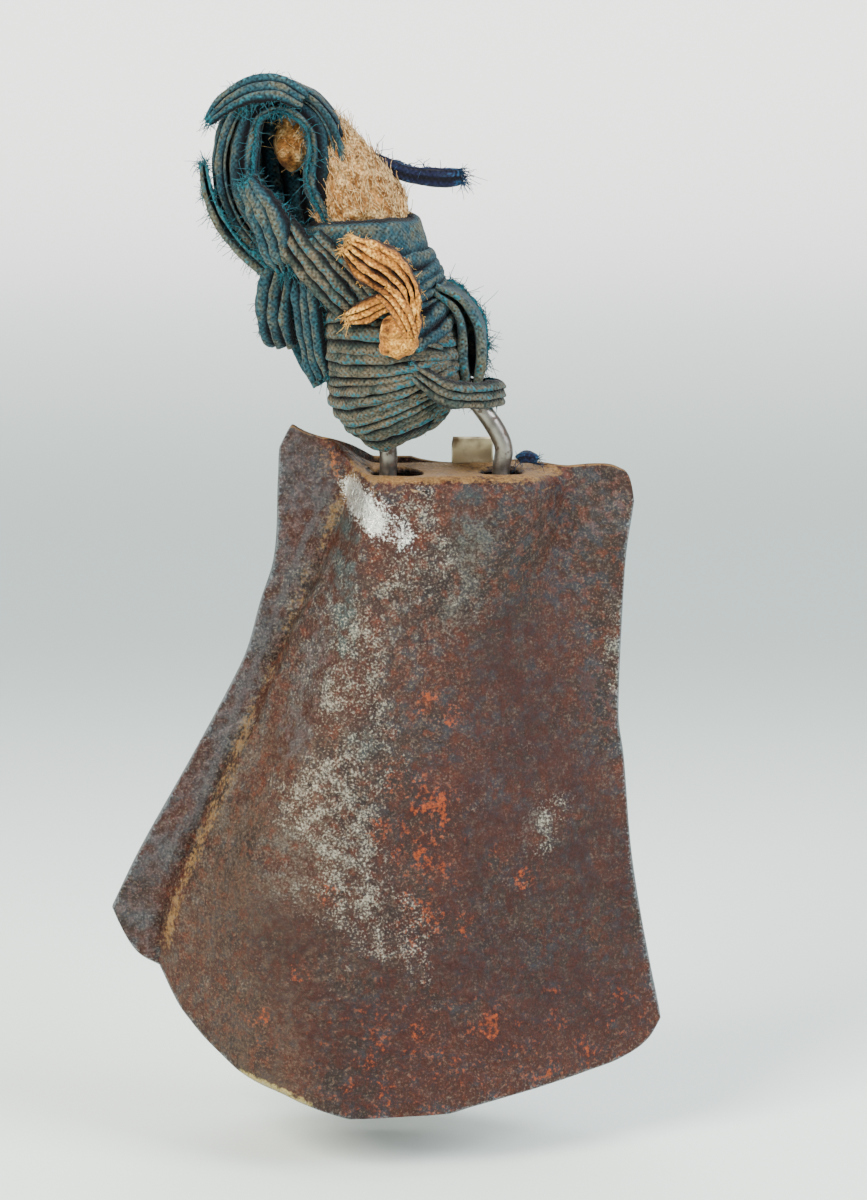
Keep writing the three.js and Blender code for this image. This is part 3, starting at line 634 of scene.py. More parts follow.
def sheet_mesh(name, side, grid, thickness, skin):
    """The two faces of a sheet and its rounded rim. skin is how rough the faces are, in mm."""
    rows, columns = grid.shape[:2]
    normal = normals_of(grid) * (1 if side < 0 else -1)
    rough = skin * (bumps(grid, 2.6, 11) + 0.7 * bumps(grid, 1.5, 12) + 1.6 * bumps(grid, 6, 13))
    for crack in CRACKS if side < 0 else []:
        rough = rough - 4 * skin * np.exp(-((distance(grid, crack) / 0.45) ** 2))
    inward = grid.copy()
    every = slice(None)
    for edge, beside in (
        ((every, 0), (every, 1)), ((every, -1), (every, -2)), ((0,), (1,)), ((-1,), (-2,)),
    ):
        inward[edge] += 0.3 * unit(grid[beside] - grid[edge])
    half = np.full((rows, columns, 1), thickness / 2)
    half[[0, -1], :] *= 0.72
    half[:, [0, -1]] *= 0.72
    outer = inward + normal * (half + rough[..., None])
    inner = inward - normal * (half - 0.4 * rough[..., None])
    border = [(0, i) for i in range(columns - 1)]
    border += [(j, columns - 1) for j in range(rows - 1)]
    border += [(rows - 1, i) for i in range(columns - 1, 0, -1)]
    border += [(j, 0) for j in range(rows - 1, 0, -1)]
    rim = np.array([grid[at] for at in border])
    points = np.concatenate([outer.reshape(-1, 3), inner.reshape(-1, 3), rim])
    points[:, 2] = np.maximum(points[:, 2], 0)
    faces = quads(rows, columns)
    count = rows * columns
    faces += [[count + v for v in face[::-1]] for face in faces]
    for k, here in enumerate(border):
        following = border[(k + 1) % len(border)]
        a, b = here[0] * columns + here[1], following[0] * columns + following[1]
        ra, rb = 2 * count + k, 2 * count + (k + 1) % len(border)
        faces.append([b, a, ra, rb])
        faces.append([rb, ra, count + a, count + b])
    if side > 0:
        faces = [face[::-1] for face in faces]
    return build(name, points, faces)


front_grid = beaten(-1, 190, 210, 60)
back_grid = beaten(1, 150, 170, 16)
print("the front bulges by", round(-front_grid[..., 1].min(), 1), "mm")
print("the back bulges by", round(back_grid[..., 1].max(), 1), "mm")

# %% [markdown]
# ## Cutting the holes
#
# A hole in a sheet is quickest made with a Boolean: a tool shape is taken away from the sheet.
# The tools for the two round holes flare at the top, because the ring has worn their edges
# round. The front sheet is also cut clear of the back one, so that they never touch.

# %% The two sheets
def turned(name, profile, centre, sides=64):
    """A solid of revolution about an upright line, from (radius, height) corners."""
    turn = np.linspace(0, 2 * np.pi, sides, endpoint=False)
    rings = [[(r * math.cos(a), r * math.sin(a), z) for a in turn] for r, z in profile]
    points = np.array(rings).reshape(-1, 3) + np.array(centre)
    faces = quads(len(profile), sides, closed=True)
    faces.append(list(range(sides))[::-1])
    faces.append([(len(profile) - 1) * sides + k for k in range(sides)])
    return build(name, points, faces)


def cut(obj, tools):
    """Takes tools away from obj, and keeps the largest body that is left."""
    for tool in tools:
        step = obj.modifiers.new("cut", "BOOLEAN")
        step.operation = "DIFFERENCE"
        step.solver = "MANIFOLD"
        step.object = tool
    settle(obj)
    for tool in tools:
        bpy.data.objects.remove(tool)
    mesh = obj.data
    edges = np.zeros(len(mesh.edges) * 2, np.int64)
    mesh.edges.foreach_get("vertices", edges)
    edges = edges.reshape(-1, 2)
    label = np.arange(len(mesh.vertices))
    while True:
        lowest = np.minimum(label[edges[:, 0]], label[edges[:, 1]])
        before = label.copy()
        np.minimum.at(label, edges[:, 0], lowest)
        np.minimum.at(label, edges[:, 1], lowest)
        label = label[label]
        if (label == before).all():
            break
    kept = np.bincount(label).argmax()
    bm = bmesh.new()
    bm.from_mesh(mesh)
    bm.verts.ensure_lookup_table()
    bmesh.ops.delete(bm, geom=[bm.verts[k] for k in np.flatnonzero(label != kept)], context="VERTS")
    bm.to_mesh(mesh)
    bm.free()
    mesh.set_sharp_from_angle(angle=math.radians(50))
    return obj


front_shell = sheet_mesh("front_sheet", -1, front_grid, SHEET, 0.05)
back_shell = sheet_mesh("back_sheet", 1, back_grid, SHEET, 0.05)


# How much wider than the hole its tool is, and at what height.
HOLE_FLARE = ((2.4, -9), (1.5, -2.1), (0.8, -1.5), (0.5, -0.9), (0.8, -0.4), (1.7, 0.1), (2.6, 3))
STRAP_THICK = 1.3
STRAP_WIDTH = 10.0
STRAP_ROOM = 0.4  # round the strap in its notch


def hole_tool(x, diameter):
    profile = [(diameter / 2 + wider, z) for wider, z in HOLE_FLARE]
    return turned("tool", profile, (x + SHIFT, 0, CROWN - 0.6))


def notch_tool():
    half = STRAP_WIDTH / 2 + STRAP_ROOM
    x0, x1 = STRAP_X + SHIFT - half, STRAP_X + SHIFT + half
    y0, y1 = strap_high.y / MM - STRAP_THICK - STRAP_ROOM, strap_high.y / MM + 3
    around = ((x0, y0), (x1, y0), (x1, y1), (x0, y1))
    corners = [(x, y, z) for z in (CROWN - 6, CROWN + 4) for x, y in around]
    faces = [[3, 2, 1, 0], [4, 5, 6, 7], [0, 1, 5, 4], [1, 2, 6, 5], [2, 3, 7, 6], [3, 0, 4, 7]]
    return build("tool", corners, faces)


clearance = sheet_mesh("tool", 1, back_grid, SHEET + 0.6, 0.05)
cut(front_shell, [hole_tool(*hole) for hole in HOLES] + [notch_tool(), clearance])
back_shell.data.set_sharp_from_angle(angle=math.radians(60))
print("front sheet", len(front_shell.data.polygons), "faces; back", len(back_shell.data.polygons))

# %% [markdown]
# ## Painting wear, painted shade and painted highlights onto the body
#
# Wear has reasons. The ridge of the bulge rubs bare when the bell is laid down, so pale specks
# follow it. A tan line runs along the valley beside the wing, and just left of it, in the bottom
# of the crease, a thin dark line is painted shade. The right half keeps its smooth red-brown
# skin, the wing is blue-grey scale, and the lip has a yellow crust at its low left corner. A
# patch of bare metal at the top left of the bulge is also a painted highlight, and a thin
# blue-grey rim along the edges is both rubbed metal and painted highlight. Each of these is a
# mark on the mesh, drawn as soft lines of (x, z) places.

# %% Marks on the sheets
RIDGE_LINE = [(-4, 118), (-6, 108), (-11, 97), (-8, 92), (-15, 78), (-13, 68), (-8, 60), (2, 48)]
WORN_CLOUDS = [
    ((5, 141), 7), ((8, 133), 8), ((-9, 98), 5), ((-14, 74), 7), ((-10, 64), 6), ((3, 44), 6),
    ((-6, 84), 6),
]
GREY_CLOUDS = [
    ((16, 122), 9), ((10, 128), 8), ((36, 66), 5), ((54, 118), 4), ((55, 108), 4), ((-24, 60), 9),
    ((20, 138), 6),
]
RED_LINES = [
    [(30, 112), (36, 90), (34, 60), (30, 30)], [(10, 70), (12, 20)], [(46, 60), (52, 20)],
    [(-20, 40), (-6, 14)],
]
ORANGE_SPOTS = [
    (6, 46), (4, 62), (7, 70), (10, 58), (27, 61), (-21, 35), (-30, 14), (9, 99), (2, 78), (13, 62),
    (-14, 54), (11, 73), (18, 45), (1, 84), (15, 96), (33, 55), (-2, 69), (-31, 22), (24, 20), (8, 20),
]
TEAL_LINES = [
    [(-9, 140), (-10, 128), (-9, 112)], [(-6, 93), (-4, 88)], [(20, 147), (24, 141)],
    [(18, 142), (19, 136)],
]
# A tan line runs along the valley beside the wing.
VALLEY_TAN_LINE = [(-8, 152), (-13, 142), (-20, 125), (-27, 107), (-35, 88), (-44, 66), (-51, 48), (-54, 36)]
# Painted shade: a thin dark line in the bottom of the crease, just left of the tan line.
CREASE_SHADE_LINE = [(-13, 150), (-18, 140), (-24, 125), (-31, 107), (-39, 88), (-47, 66)]
# No mark goes far past these, so that the brown skin always shows between its grains.
MOST = {"pale": 0.5, "wing": 0.6, "red": 0.65, "green": 0.5, "worn": 0.37, "grey": 0.55, "orange": 0.42}


def paint(obj, side):
    mesh = obj.data
    points = np.zeros(len(mesh.vertices) * 3, np.float32)
    mesh.vertices.foreach_get("co", points)
    points = points.reshape(-1, 3).astype(float) / MM
    normals = np.zeros(len(mesh.vertices) * 3, np.float32)
    mesh.vertex_normals.foreach_get("vector", normals)
    facing = normals.reshape(-1, 3)
    x, y, z = points.T
    h = z / CROWN
    valley = along(VALLEY, h) * BODY_WIDTH + SHIFT
    right = along(RIGHT_EDGE, h) * BODY_WIDTH + SHIFT
    free = along(WING_EDGE, h) * BODY_WIDTH + SHIFT
    place = (x - valley) / np.where(x > valley, right - valley, np.maximum(valley - free, 1))
    lip = CROWN * np.where(place < 0, along(WING_LIP, place + 1), along(LIP, place))
    crown = ease(facing[:, 2], 0.5, 0.9) * ease(z, CROWN - 6, CROWN - 3)
    soft = bumps(points, 9, 21)

    def line(width, *corners):
        return near(points, corners, width)

    clouds = sum(line(size, c, (c[0] + 1, c[1] + 2)) for c, size in WORN_CLOUDS)
    greys = sum(line(size, c, (c[0] + 1, c[1] + 2)) for c, size in GREY_CLOUDS)
    spots = sum(line(2.4, c, (c[0] + 0.5, c[1] + 1)) for c in ORANGE_SPOTS)
    marks = {
        "pale": 0.75 * ease(-x, 2, 40) * ease(-z, -120, -50) * (place > 0)
        + 0.25 * line(20, *RIDGE_LINE),
        "wing": ease(-place, -0.02, 0.25) * (0.6 + 0.3 * soft) + 0.45 * line(5, (-10, 130), (-22, 90))
        + 0.3 * ease(x, 20, 50) * ease(z, 40, 120) * (0.5 + 0.5 * soft),
        "red": sum(line(16, *corners) for corners in RED_LINES) * 0.6,
        "green": sum(line(3.4, *corners) for corners in TEAL_LINES) * 0.55,
        # tan along the valley line, and dust on the upward face of the crown
        "tan_and_dust": (0.42 + 0.3 * bumps(points, 12, 24)) * line(1.8, *VALLEY_TAN_LINE) + 0.6 * crown
        + 0.3 * line(3, (-14, 158), (-12, 152)) + 0.25 * line(2.5, (40, 157), (-4, 152)),
        "grey": 0.5 * greys + 0.25 * line(11, *RIDGE_LINE) + 0.3 * line(7, *VALLEY_TAN_LINE),
        "worn": 0.3 * line(4, *RIDGE_LINE) + 0.42 * clouds.clip(0, 1) + 0.2 * line(15, *RIDGE_LINE)
        + 0.42 * line(3, (37, 62), (40, 72)) + 0.3 * line(2.5, (54, 118), (55, 100))
        + 0.14 * bumps(points, 11, 22),
        "orange": 0.62 * spots.clip(0, 1) + 0.34 * line(8, (8, 50), (12, 76))
        + 0.3 * line(2.5, (-13, 158), (-11, 152)) + 0.2 * ease(x, -40, 0) * ease(-z, -60, -10),
        "crust": ease(-(z - lip), -2.2, -0.3) * ease(x, -38, -34) * (1 - ease(x, -19, -16)) * 0.8,
        # bare metal at the top left shoulder, which also stands as a painted highlight
        "bare_and_highlight": 0.9 * line(2.6, (-8, 149), (-3, 142)) + 0.4 * line(4.0, (-4, 146), (4, 139)),
        # a rubbed blue-grey rim along the edges, which is also a painted highlight
        "edge": np.exp(-np.minimum.reduce([right - x, np.abs(x - free), z - lip]).clip(0) / 0.6),
    }
    for key, most in MOST.items():
        marks[key] = np.clip(marks[key], 0, most * (0.8 + 0.3 * bumps(points, 5, 26)))
    # Painted shade in the crease: the tan is cleared there and blue-grey laid over it, so the line reads dark.
    marks["tan_and_dust"] = marks["tan_and_dust"] * (1 - line(1.6, *CREASE_SHADE_LINE))
    marks["wing"] = np.maximum(marks["wing"], 0.9 * line(1.4, *CREASE_SHADE_LINE) * (side < 0))
    if side > 0:
        for key in ("bare_and_highlight", "green", "crust"):
            marks[key] = marks[key] * 0.2
        marks["worn"] = 0.5 * line(10, (8, 130), (2, 90), (6, 40))
    for key, values in marks.items():
        layer = mesh.attributes.new(key, "FLOAT", "POINT")
        layer.data.foreach_set("value", values.astype(np.float32))


paint(front_shell, -1)
paint(back_shell, 1)
dress(front_shell, body_iron, "bell", "rusted_iron", "front_shell")
dress(back_shell, body_iron, "bell", "rusted_iron", "back_shell")

# %% [markdown]
# ## The ring, the strap and the clapper
#
# The ring is a round iron rod, bent and hammered, so it is swept along the same points as in
# the CAD part, with a slightly uneven section. The strap is a narrow plate, pale where it was
# polished. Link, rod and bob hang inside in the dark and are rustier.

# %% Finishes of the small iron
def worn_metal(name, bright, dull, stain, roughness, grain):
    """Iron rubbed bright by use, with dull scale and brown stain left in its hollows."""
    material, tree, shader = new_material(name)
    coords = add(tree, "TexCoord").outputs["Object"]
    inputs = {"Vector": coords, "Scale": 1 / (grain * 4 * MM), "Detail": 4}
    wide = add(tree, "TexNoise", inputs).outputs["Fac"]
    inputs = {"Vector": coords, "Scale": 1 / (grain * MM), "Detail": 4}
    fine = add(tree, "TexNoise", inputs).outputs["Fac"]
    limits = {"Value": wide, "From Min": 0.4, "From Max": 0.62}
    dark = add(tree, "MapRange", limits, interpolation_type="SMOOTHSTEP").outputs[0]
    limits = {"Value": fine, "From Min": 0.52, "From Max": 0.68}
    brown = add(tree, "MapRange", limits, interpolation_type="SMOOTHSTEP").outputs[0]
    inputs = {0: dark, 6: linear(bright), 7: linear(dull)}
    base = add(tree, "Mix", inputs, data_type="RGBA").outputs[2]
    inputs = {0: brown, 6: base, 7: linear(stain)}
    base = add(tree, "Mix", inputs, data_type="RGBA").outputs[2]
    rough = add(tree, "MapRange", {"Value": brown, "To Min": roughness, "To Max": 0.75}).outputs[0]
    metal = add(tree, "MapRange", {"Value": brown, "To Min": 0.9, "To Max": 0.35}).outputs[0]
    bump = add(tree, "Bump", {"Height": fine, "Strength": 0.5, "Distance": 0.15 * MM}).outputs[0]
    made = {"Base Color": base, "Roughness": rough, "Metallic": metal, "Normal": bump}
    for socket, value in made.items():
        tree.links.new(value, shader.inputs[socket])
    return material


rod_iron = worn_metal("worn_iron_rod", "#8a857c", "#5f5a54", "#4e3c30", 0.38, 1.6)
strap_iron = worn_metal("polished_strap", "#c9bb96", "#a4916c", "#6f583c", 0.34, 9.0)
clapper_iron = worn_metal("rusted_clapper_iron", "#4c443e", "#3a302b", "#573622", 0.6, 1.4)
print("made", rod_iron.name, strap_iron.name, clapper_iron.name)

# %% [markdown]
# ## Rods and rings
#
# A rod is a circle carried along a curve. A curve object with a bevel would do it, but a forged
# rod is a little uneven, so its points are worked out here. The curve goes through a few
# stations that a smith could mark on a bench, and is then divided into even steps.

# %% Carrying a section along a curve
def smooth_path(stations, steps, closed=False):
    """Points and sizes along a smooth curve through stations, spaced evenly along its length."""
    s = np.asarray(stations, float)
    n = len(s)
    if closed:
        s = np.vstack([s[-1:], s, s[:2]])
    else:
        s = np.vstack([2 * s[:1] - s[1:2], s, 2 * s[-1:] - s[-2:-1]])
    spans = n if closed else n - 1
    gaps = np.sqrt(np.linalg.norm(np.diff(s[:, :3], axis=0), axis=1))
    knots = np.concatenate([[0], np.cumsum(gaps)])

    def at(u):
        k = np.clip(u.astype(int), 0, spans - 1) + 1
        t = (knots[k] + (u - k + 1) * (knots[k + 1] - knots[k]))[:, None]
        k0, k1, k2, k3 = (knots[k + d][:, None] for d in (-1, 0, 1, 2))
        a1 = (k1 - t) / (k1 - k0) * s[k - 1] + (t - k0) / (k1 - k0) * s[k]
        a2 = (k2 - t) / (k2 - k1) * s[k] + (t - k1) / (k2 - k1) * s[k + 1]
        a3 = (k3 - t) / (k3 - k2) * s[k + 1] + (t - k2) / (k3 - k2) * s[k + 2]
        b1 = (k2 - t) / (k2 - k0) * a1 + (t - k0) / (k2 - k0) * a2
        b2 = (k3 - t) / (k3 - k1) * a2 + (t - k1) / (k3 - k1) * a3
        return (k2 - t) / (k2 - k1) * b1 + (t - k1) / (k2 - k1) * b2

    dense = at(np.linspace(0, spans, 40 * spans + 1) * (1 - 1e-9))
    run = np.concatenate([[0], np.cumsum(np.linalg.norm(np.diff(dense[:, :3], axis=0), axis=1))])
    wanted = np.linspace(0, run[-1], steps + 1)
    result = np.stack([np.interp(wanted, run, dense[:, c]) for c in range(dense.shape[1])], 1)
    return (result[:-1] if closed else result), run[-1]


def directions(centres, outwards, closed=False):
    """The tangent of a path, the direction called outwards, and the one across both."""
    if closed:
        tangent = np.roll(centres, -1, 0) - np.roll(centres, 1, 0)
    else:
        tangent = np.gradient(centres, axis=0)
    tangent /= np.linalg.norm(tangent, axis=1, keepdims=True)
    out = outwards - (outwards * tangent).sum(1, keepdims=True) * tangent
    out /= np.linalg.norm(out, axis=1, keepdims=True)
    return tangent, out, np.cross(tangent, out)


def rod(name, stations, steps, closed=False, sides=20, dents=0.1):
    """A round rod through stations [x, y, z, radius]."""
    path, _ = smooth_path(stations, steps, closed)
    centres = path[:, :3]
    _, out, across = directions(centres, np.tile((0.13, 1.0, 0.07), (len(centres), 1)), closed)
    turn = np.linspace(0, 2 * np.pi, sides, endpoint=False)
    turn = turn[None, :, None]
    ring = out[:, None] * np.cos(turn) + across[:, None] * np.sin(turn)
    points = centres[:, None] + ring * path[:, None, 3:4]
    uneven = dents * bumps(points, 5, 31) + 0.4 * dents * bumps(points, 1.8, 32)
    points += ring * uneven[..., None]
    faces = quads(len(centres), sides, closed=True)
    if closed:
        last = (len(centres) - 1) * sides
        faces += [[last + k, last + (k + 1) % sides, (k + 1) % sides, k] for k in range(sides)]
    else:
        ends = np.concatenate([centres[:1], centres[-1:]])
        points = np.concatenate([points.reshape(-1, 3), ends])
        a, b, last = len(points) - 2, len(points) - 1, (len(centres) - 1) * sides
        faces += [[a, (k + 1) % sides, k] for k in range(sides)]
        faces += [[b, last + k, last + (k + 1) % sides] for k in range(sides)]
    return build(name, points, faces)


def join(name, pieces):
    """Several meshes as one object."""
    bpy.ops.object.select_all(action="DESELECT")
    for piece in pieces:
        piece.select_set(True)
    bpy.context.view_layer.objects.active = pieces[0]
    bpy.ops.object.join()
    pieces[0].name = name
    return pieces[0]



_, around = smooth_path([(1, 0, 0), (0, 1, 0), (-1, 0, 0), (0, -1, 0)], 40, closed=True)
print("a closed curve through four points of a circle is", round(around, 2), "radii round")

# %% The ring and the strap
ROD_RADIUS = 2.15
BAIL_XZ = [
    (-2.6, -2), (-2.6, 5), (-6, 16), (-11, 28), (-17.5, 40), (-26, 52), (-34, 61), (-38.2, 72),
    (-36, 82), (-28.3, 87.2), (-20, 82.5), (-17.4, 72), (-12.5, 58), (-3, 44), (8, 29.5),
    (16.5, 18.5), (22.6, 10.5), (25, 5), (24.4, 0.5), (24, -4.4), (19.4, -8), (10.9, -8), (2.4, -8),
    (-2, -5),
]
stations = [(x + SHIFT, 0, CROWN + z, ROD_RADIUS) for x, z in BAIL_XZ]
bail = rod("iron_ring", stations, 420, closed=True)
dress(bail, rod_iron, "handle", "worn_iron", "bail")

STRAP_PATH = [(10.2, 6), (10.2, 0), (10.2, -6), (9.6, -8.2), (0.8, -12.8), (0, -14.4), (0, -22.8)]
path, _ = smooth_path([(0, y, CROWN + z) for y, z in STRAP_PATH], 90)
span = np.linspace(-1, 1, 31)
grid = np.zeros((len(path), len(span), 3))
corner = np.sqrt(1 - (1 - ease(np.arange(len(path)), 0, 7)) ** 2 * 0.12)
narrow = mix(1, 0.85, ease(CROWN - path[:, 2], 12, 15)) * corner
grid[..., 0] = STRAP_X + SHIFT + span * STRAP_WIDTH / 2 * narrow[:, None]
grid[..., 1] = path[:, 1:2] + 0.15 * bumps(grid + path[:, None, :], 7, 41)
grid[..., 2] = path[:, 2:3]
strap = sheet_mesh("clapper_strap", -1, grid[::-1], STRAP_THICK, 0.015)
hole = rod("tool", [(STRAP_X + SHIFT, y, CROWN - 18, 2.8) for y in (-4, 4)], 4, dents=0)
cut(strap, [hole])
dress(strap, strap_iron, "bell", "pale_strap", "hanger_strap")


# %% The clapper
LINK_WIRE = 2.6
LINK_RADIUS = 5.7
EYE_RADIUS = 4.2
HEAD = [(0.6, 0), (2.2, 0.3), (3.0, 1.6), (3.1, 3.2), (2.6, 4.8), (1.9, 6.0)]
BOB = [
    (2.5, 0.2), (4.5, 0), (5.5, 0.8), (6.1, 3), (6.5, 7.5), (6.3, 11), (5.6, 15), (4.5, 20),
    (3.6, 23.6), (2.7, 25),
]


def wire_ring(name, height, radius, sideways):
    """An upright ring of wire under the strap. sideways is the direction that it spreads in."""
    turn = np.linspace(0, 2 * np.pi, 28, endpoint=False)[:, None]
    centres = np.array((middle_x, 0, height))
    centres = centres + radius * (np.array(sideways) * np.cos(turn) + np.array((0, 0, 1)) * np.sin(turn))
    return rod(name, [(*centre, LINK_WIRE / 2) for centre in centres], 96, True, 14, 0.05)


middle_x = STRAP_X + SHIFT
link = wire_ring("clapper_link_ring", (link_low.z + link_high.z) / 2 / MM, LINK_RADIUS, (0, 1, 0))
dress(link, clapper_iron, "clapper_link", "inner_iron", "clapper_link")

rod_low, rod_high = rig.box("clapper_rod")
bob_low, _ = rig.box("clapper_bob")
foot = rod_low.z / MM
eye_z = rod_high.z / MM - EYE_RADIUS - LINK_WIRE / 2
eye = wire_ring("eye", eye_z, EYE_RADIUS, (1, 0, 0))
stations = [(eye_z - EYE_RADIUS, 2), (eye_z - 30, 1.95), (foot + 3, 2)]
shank = rod("shank", [(middle_x, 0, z, radius) for z, radius in stations], 80)
head = turned("head", HEAD, (middle_x, 0, foot), 28)
clapper = join("clapper_rod_forged", [eye, shank, head])
dress(clapper, clapper_iron, "clapper", "inner_iron", "clapper_rod")
bob = turned("clapper_bob_pear", BOB, (middle_x, 0, bob_low.z / MM), 48)
dress(bob, clapper_iron, "clapper", "inner_iron", "clapper_bob")

# %% [markdown]
# ## The finish of the binding: indigo cotton
#
# The strips are torn from plain woven cotton, dyed with indigo. Folds that the hand rubs have
# faded to a greyish brown and torn edges stay teal, while the hollows get painted shade that
# makes them nearly black. The weave has about 16 threads to the centimetre. That is too fine to
# show from a metre away, so it is drawn a little coarser, from the strip's own lengths in
# millimetres, which the mesh carries as its UV map. Thin fibres give cotton a faint sheen at
# grazing angles.

# %% Cotton
WEAVE = 0.66  # mm between threads; the real cloth has 0.6


def cotton(name, crest, dyed, deep, torn, wear_bias=0.0):
    """Dyed cotton, worn to crest on its folds, with painted shade in its hollows, torn at its edges."""
    material, tree, shader = new_material(name)
    coords = add(tree, "TexCoord")
    wear_and_shade = add(tree, "Attribute", attribute_name="wear_and_shade").outputs["Fac"]
    fray = add(tree, "Attribute", attribute_name="fray").outputs["Fac"]
    inputs = {0: coords.outputs["UV"], 1: [math.pi / WEAVE] * 3}
    spaced = add(tree, "VectorMath", inputs, operation="MULTIPLY")
    parts = add(tree, "SeparateXYZ", {"Vector": spaced.outputs[0]})
    waves = [add(tree, "Math", {0: parts.outputs[k]}, operation="SINE").outputs[0] for k in (0, 1)]
    weave = add(tree, "Math", {0: waves[0], 1: waves[1]}, operation="MULTIPLY").outputs[0]
    noises = {}
    for key, size in (("patch", 5.0), ("slub", 2.0), ("fine", 0.6)):
        inputs = {"Vector": coords.outputs["Object"], "Scale": 1 / (size * MM), "Detail": 3.0}
        noise = add(tree, "TexNoise", inputs).outputs["Fac"]
        inputs = {"Value": noise, "From Min": 0.3, "From Max": 0.7}
        noises[key] = add(tree, "MapRange", inputs).outputs[0]
    colour = linear(dyed)
    for mark, first, second, low, high, code in (
        (wear_and_shade, "patch", "slub", 0.95 - wear_bias, 1.75 - wear_bias, crest),
        (wear_and_shade, "fine", "slub", 1.5 - wear_bias, 1.95 - wear_bias, torn),
        (fray, "slub", "fine", 0.9, 1.5, torn),
    ):
        total = mark
        for noise in (noises[first], noises[second]):
            inputs = {0: noise, 1: 0.6, 2: total}
            total = add(tree, "Math", inputs, operation="MULTIPLY_ADD").outputs[0]
        inputs = {"Value": total, "From Min": low, "From Max": high}
        mask = add(tree, "MapRange", inputs, interpolation_type="SMOOTHSTEP").outputs[0]
        colour = add(tree, "Mix", {0: mask, 6: colour, 7: linear(code)}, data_type="RGBA").outputs[2]
    # Painted shade: where a point lies low on its fold, the colour goes to the deep colour.
    inputs = {"Value": wear_and_shade, "From Min": 0.04, "From Max": 0.5, "To Min": 1.0, "To Max": 0.0}
    hollow_shade = add(tree, "MapRange", inputs, interpolation_type="SMOOTHSTEP").outputs[0]
    colour = add(tree, "Mix", {0: hollow_shade, 6: colour, 7: linear(deep)}, data_type="RGBA").outputs[2]
    grain = add(tree, "MapRange", {"Value": noises["fine"], "To Min": 0.35, "To Max": 1.6}).outputs[0]
    grain = add(tree, "Math", {0: weave, 1: 0.3, 2: grain}, operation="MULTIPLY_ADD").outputs[0]
    shaded = {0: 1.0, 6: colour, 7: grain}
    colour = add(tree, "Mix", shaded, data_type="RGBA", blend_type="MULTIPLY").outputs[2]
    tree.links.new(colour, shader.inputs["Base Color"])
    first = add(tree, "Bump", {"Height": weave, "Strength": 0.5, "Distance": 0.12 * MM}).outputs[0]
    inputs = {"Height": noises["fine"], "Strength": 0.6, "Distance": 0.16 * MM, "Normal": first}
    tree.links.new(add(tree, "Bump", inputs).outputs[0], shader.inputs["Normal"])
    shader.inputs["Roughness"].default_value = 0.9
    shader.inputs["Specular IOR Level"].default_value = 0.15
    shader.inputs["Sheen Weight"].default_value = 0.06
    shader.inputs["Sheen Roughness"].default_value = 0.5
    return material


# The third colour of each cloth is the painted shade in the hollows of its folds.
blue_cotton = cotton("indigo_cotton", "#504d3e", "#1d3b44", "#050409", "#15525c")
worn_cotton = cotton("rubbed_indigo_cotton", "#5a4f3e", "#29332f", "#070508", "#1c4c54", 0.25)
ochre_cotton = cotton("ochre_cotton", "#b57a30", "#8c5826", "#2a1408", "#c89a50", 0.1)
dark_cotton = cotton("dark_indigo_cotton", "#1c2438", "#12152c", "#08080f", "#173550")
raw_fibre = cotton("raw_hemp_fibre", "#a87f4c", "#7a4e24", "#2a1608", "#c0a070", 0.1)
print("the weave is drawn with", round(10 / WEAVE, 1), "threads to the centimetre")

# %% [markdown]
# ## Strips of cloth
#
# Every piece of the binding is a strip that was folded or rolled along its length before it was
# wound. A strip here is a grid: its rows go along a path, and its columns follow the section of
# the folded cloth. Three sections do for all of them: a loose roll, a zigzag of folds, and a
# flat band with a few pleats. The cloth gets its thickness after that.

# %% Sections of a folded strip
def rolled(ribs, turns=1.12, depth=0.25, start=0.0, square=0.75):
    """A strip rolled up on itself, with ribs along it. s runs from 0 to 1 along the section."""
    def section(s):
        phi = start + 2 * np.pi * turns * s
        fold = (ribs * phi / (2 * np.pi)) % 1
        crest = fold**0.7 * (1 - ease(fold, 0.86, 1)) * 1.1
        r = mix(0.84, 1.0, s) * (1 - depth * (1 - crest))
        out, across = np.cos(phi), np.sin(phi)
        return (r * np.sign(out) * np.abs(out) ** square,
                r * np.sign(across) * np.abs(across) ** square, crest)
    return section


def zigzag(passes):
    """A strip folded to and fro. The folds lie side by side, and their turns are round."""
    def section(s):
        run = np.clip(s, 0, 1) * passes
        k = np.minimum(np.floor(run), passes - 1)
        f = run - k
        along_pass = np.where(k % 2 == 0, 1, -1) * np.cos(np.pi * f) * -1
        flat = np.sign(along_pass) * np.abs(along_pass) ** 0.7
        centre = (k + 0.5) / passes * 2 - 1
        turn = (np.clip(f - 0.8, 0, 1) - np.clip(0.2 - f, 0, 1)) / 0.2
        out = centre + turn * np.abs(turn) * 0.5 / passes * 2
        return out, flat, ease(np.abs(along_pass), 0.55, 0.98) * 0.4 + 0.6
    return section


def band(pleats, height=1.0, tuck=0.9):
    """A flat band with pleats along it, whose two edges are turned under."""
    def section(s):
        a = s * 2 - 1
        fold = np.clip(pleats * s, 0, pleats * 0.999) % 1
        crest = np.clip(fold**0.6 * (1 - ease(fold, 0.84, 1)) * 1.15, 0, 1)
        return height * crest - tuck * np.abs(a) ** 7, a, np.clip(crest * (1 - np.abs(a) ** 9), 0, 1)
    return section


for kind, section in (("roll", rolled(6)), ("zigzag", zigzag(4)), ("band", band(3))):
    out, side, _ = section(np.linspace(0, 1, 200))
    print(kind, "is", round(np.hypot(np.diff(out), np.diff(side)).sum(), 1), "half widths long, cut open")


# %% Cloth from a grid
CLOTH = 0.4  # mm thick


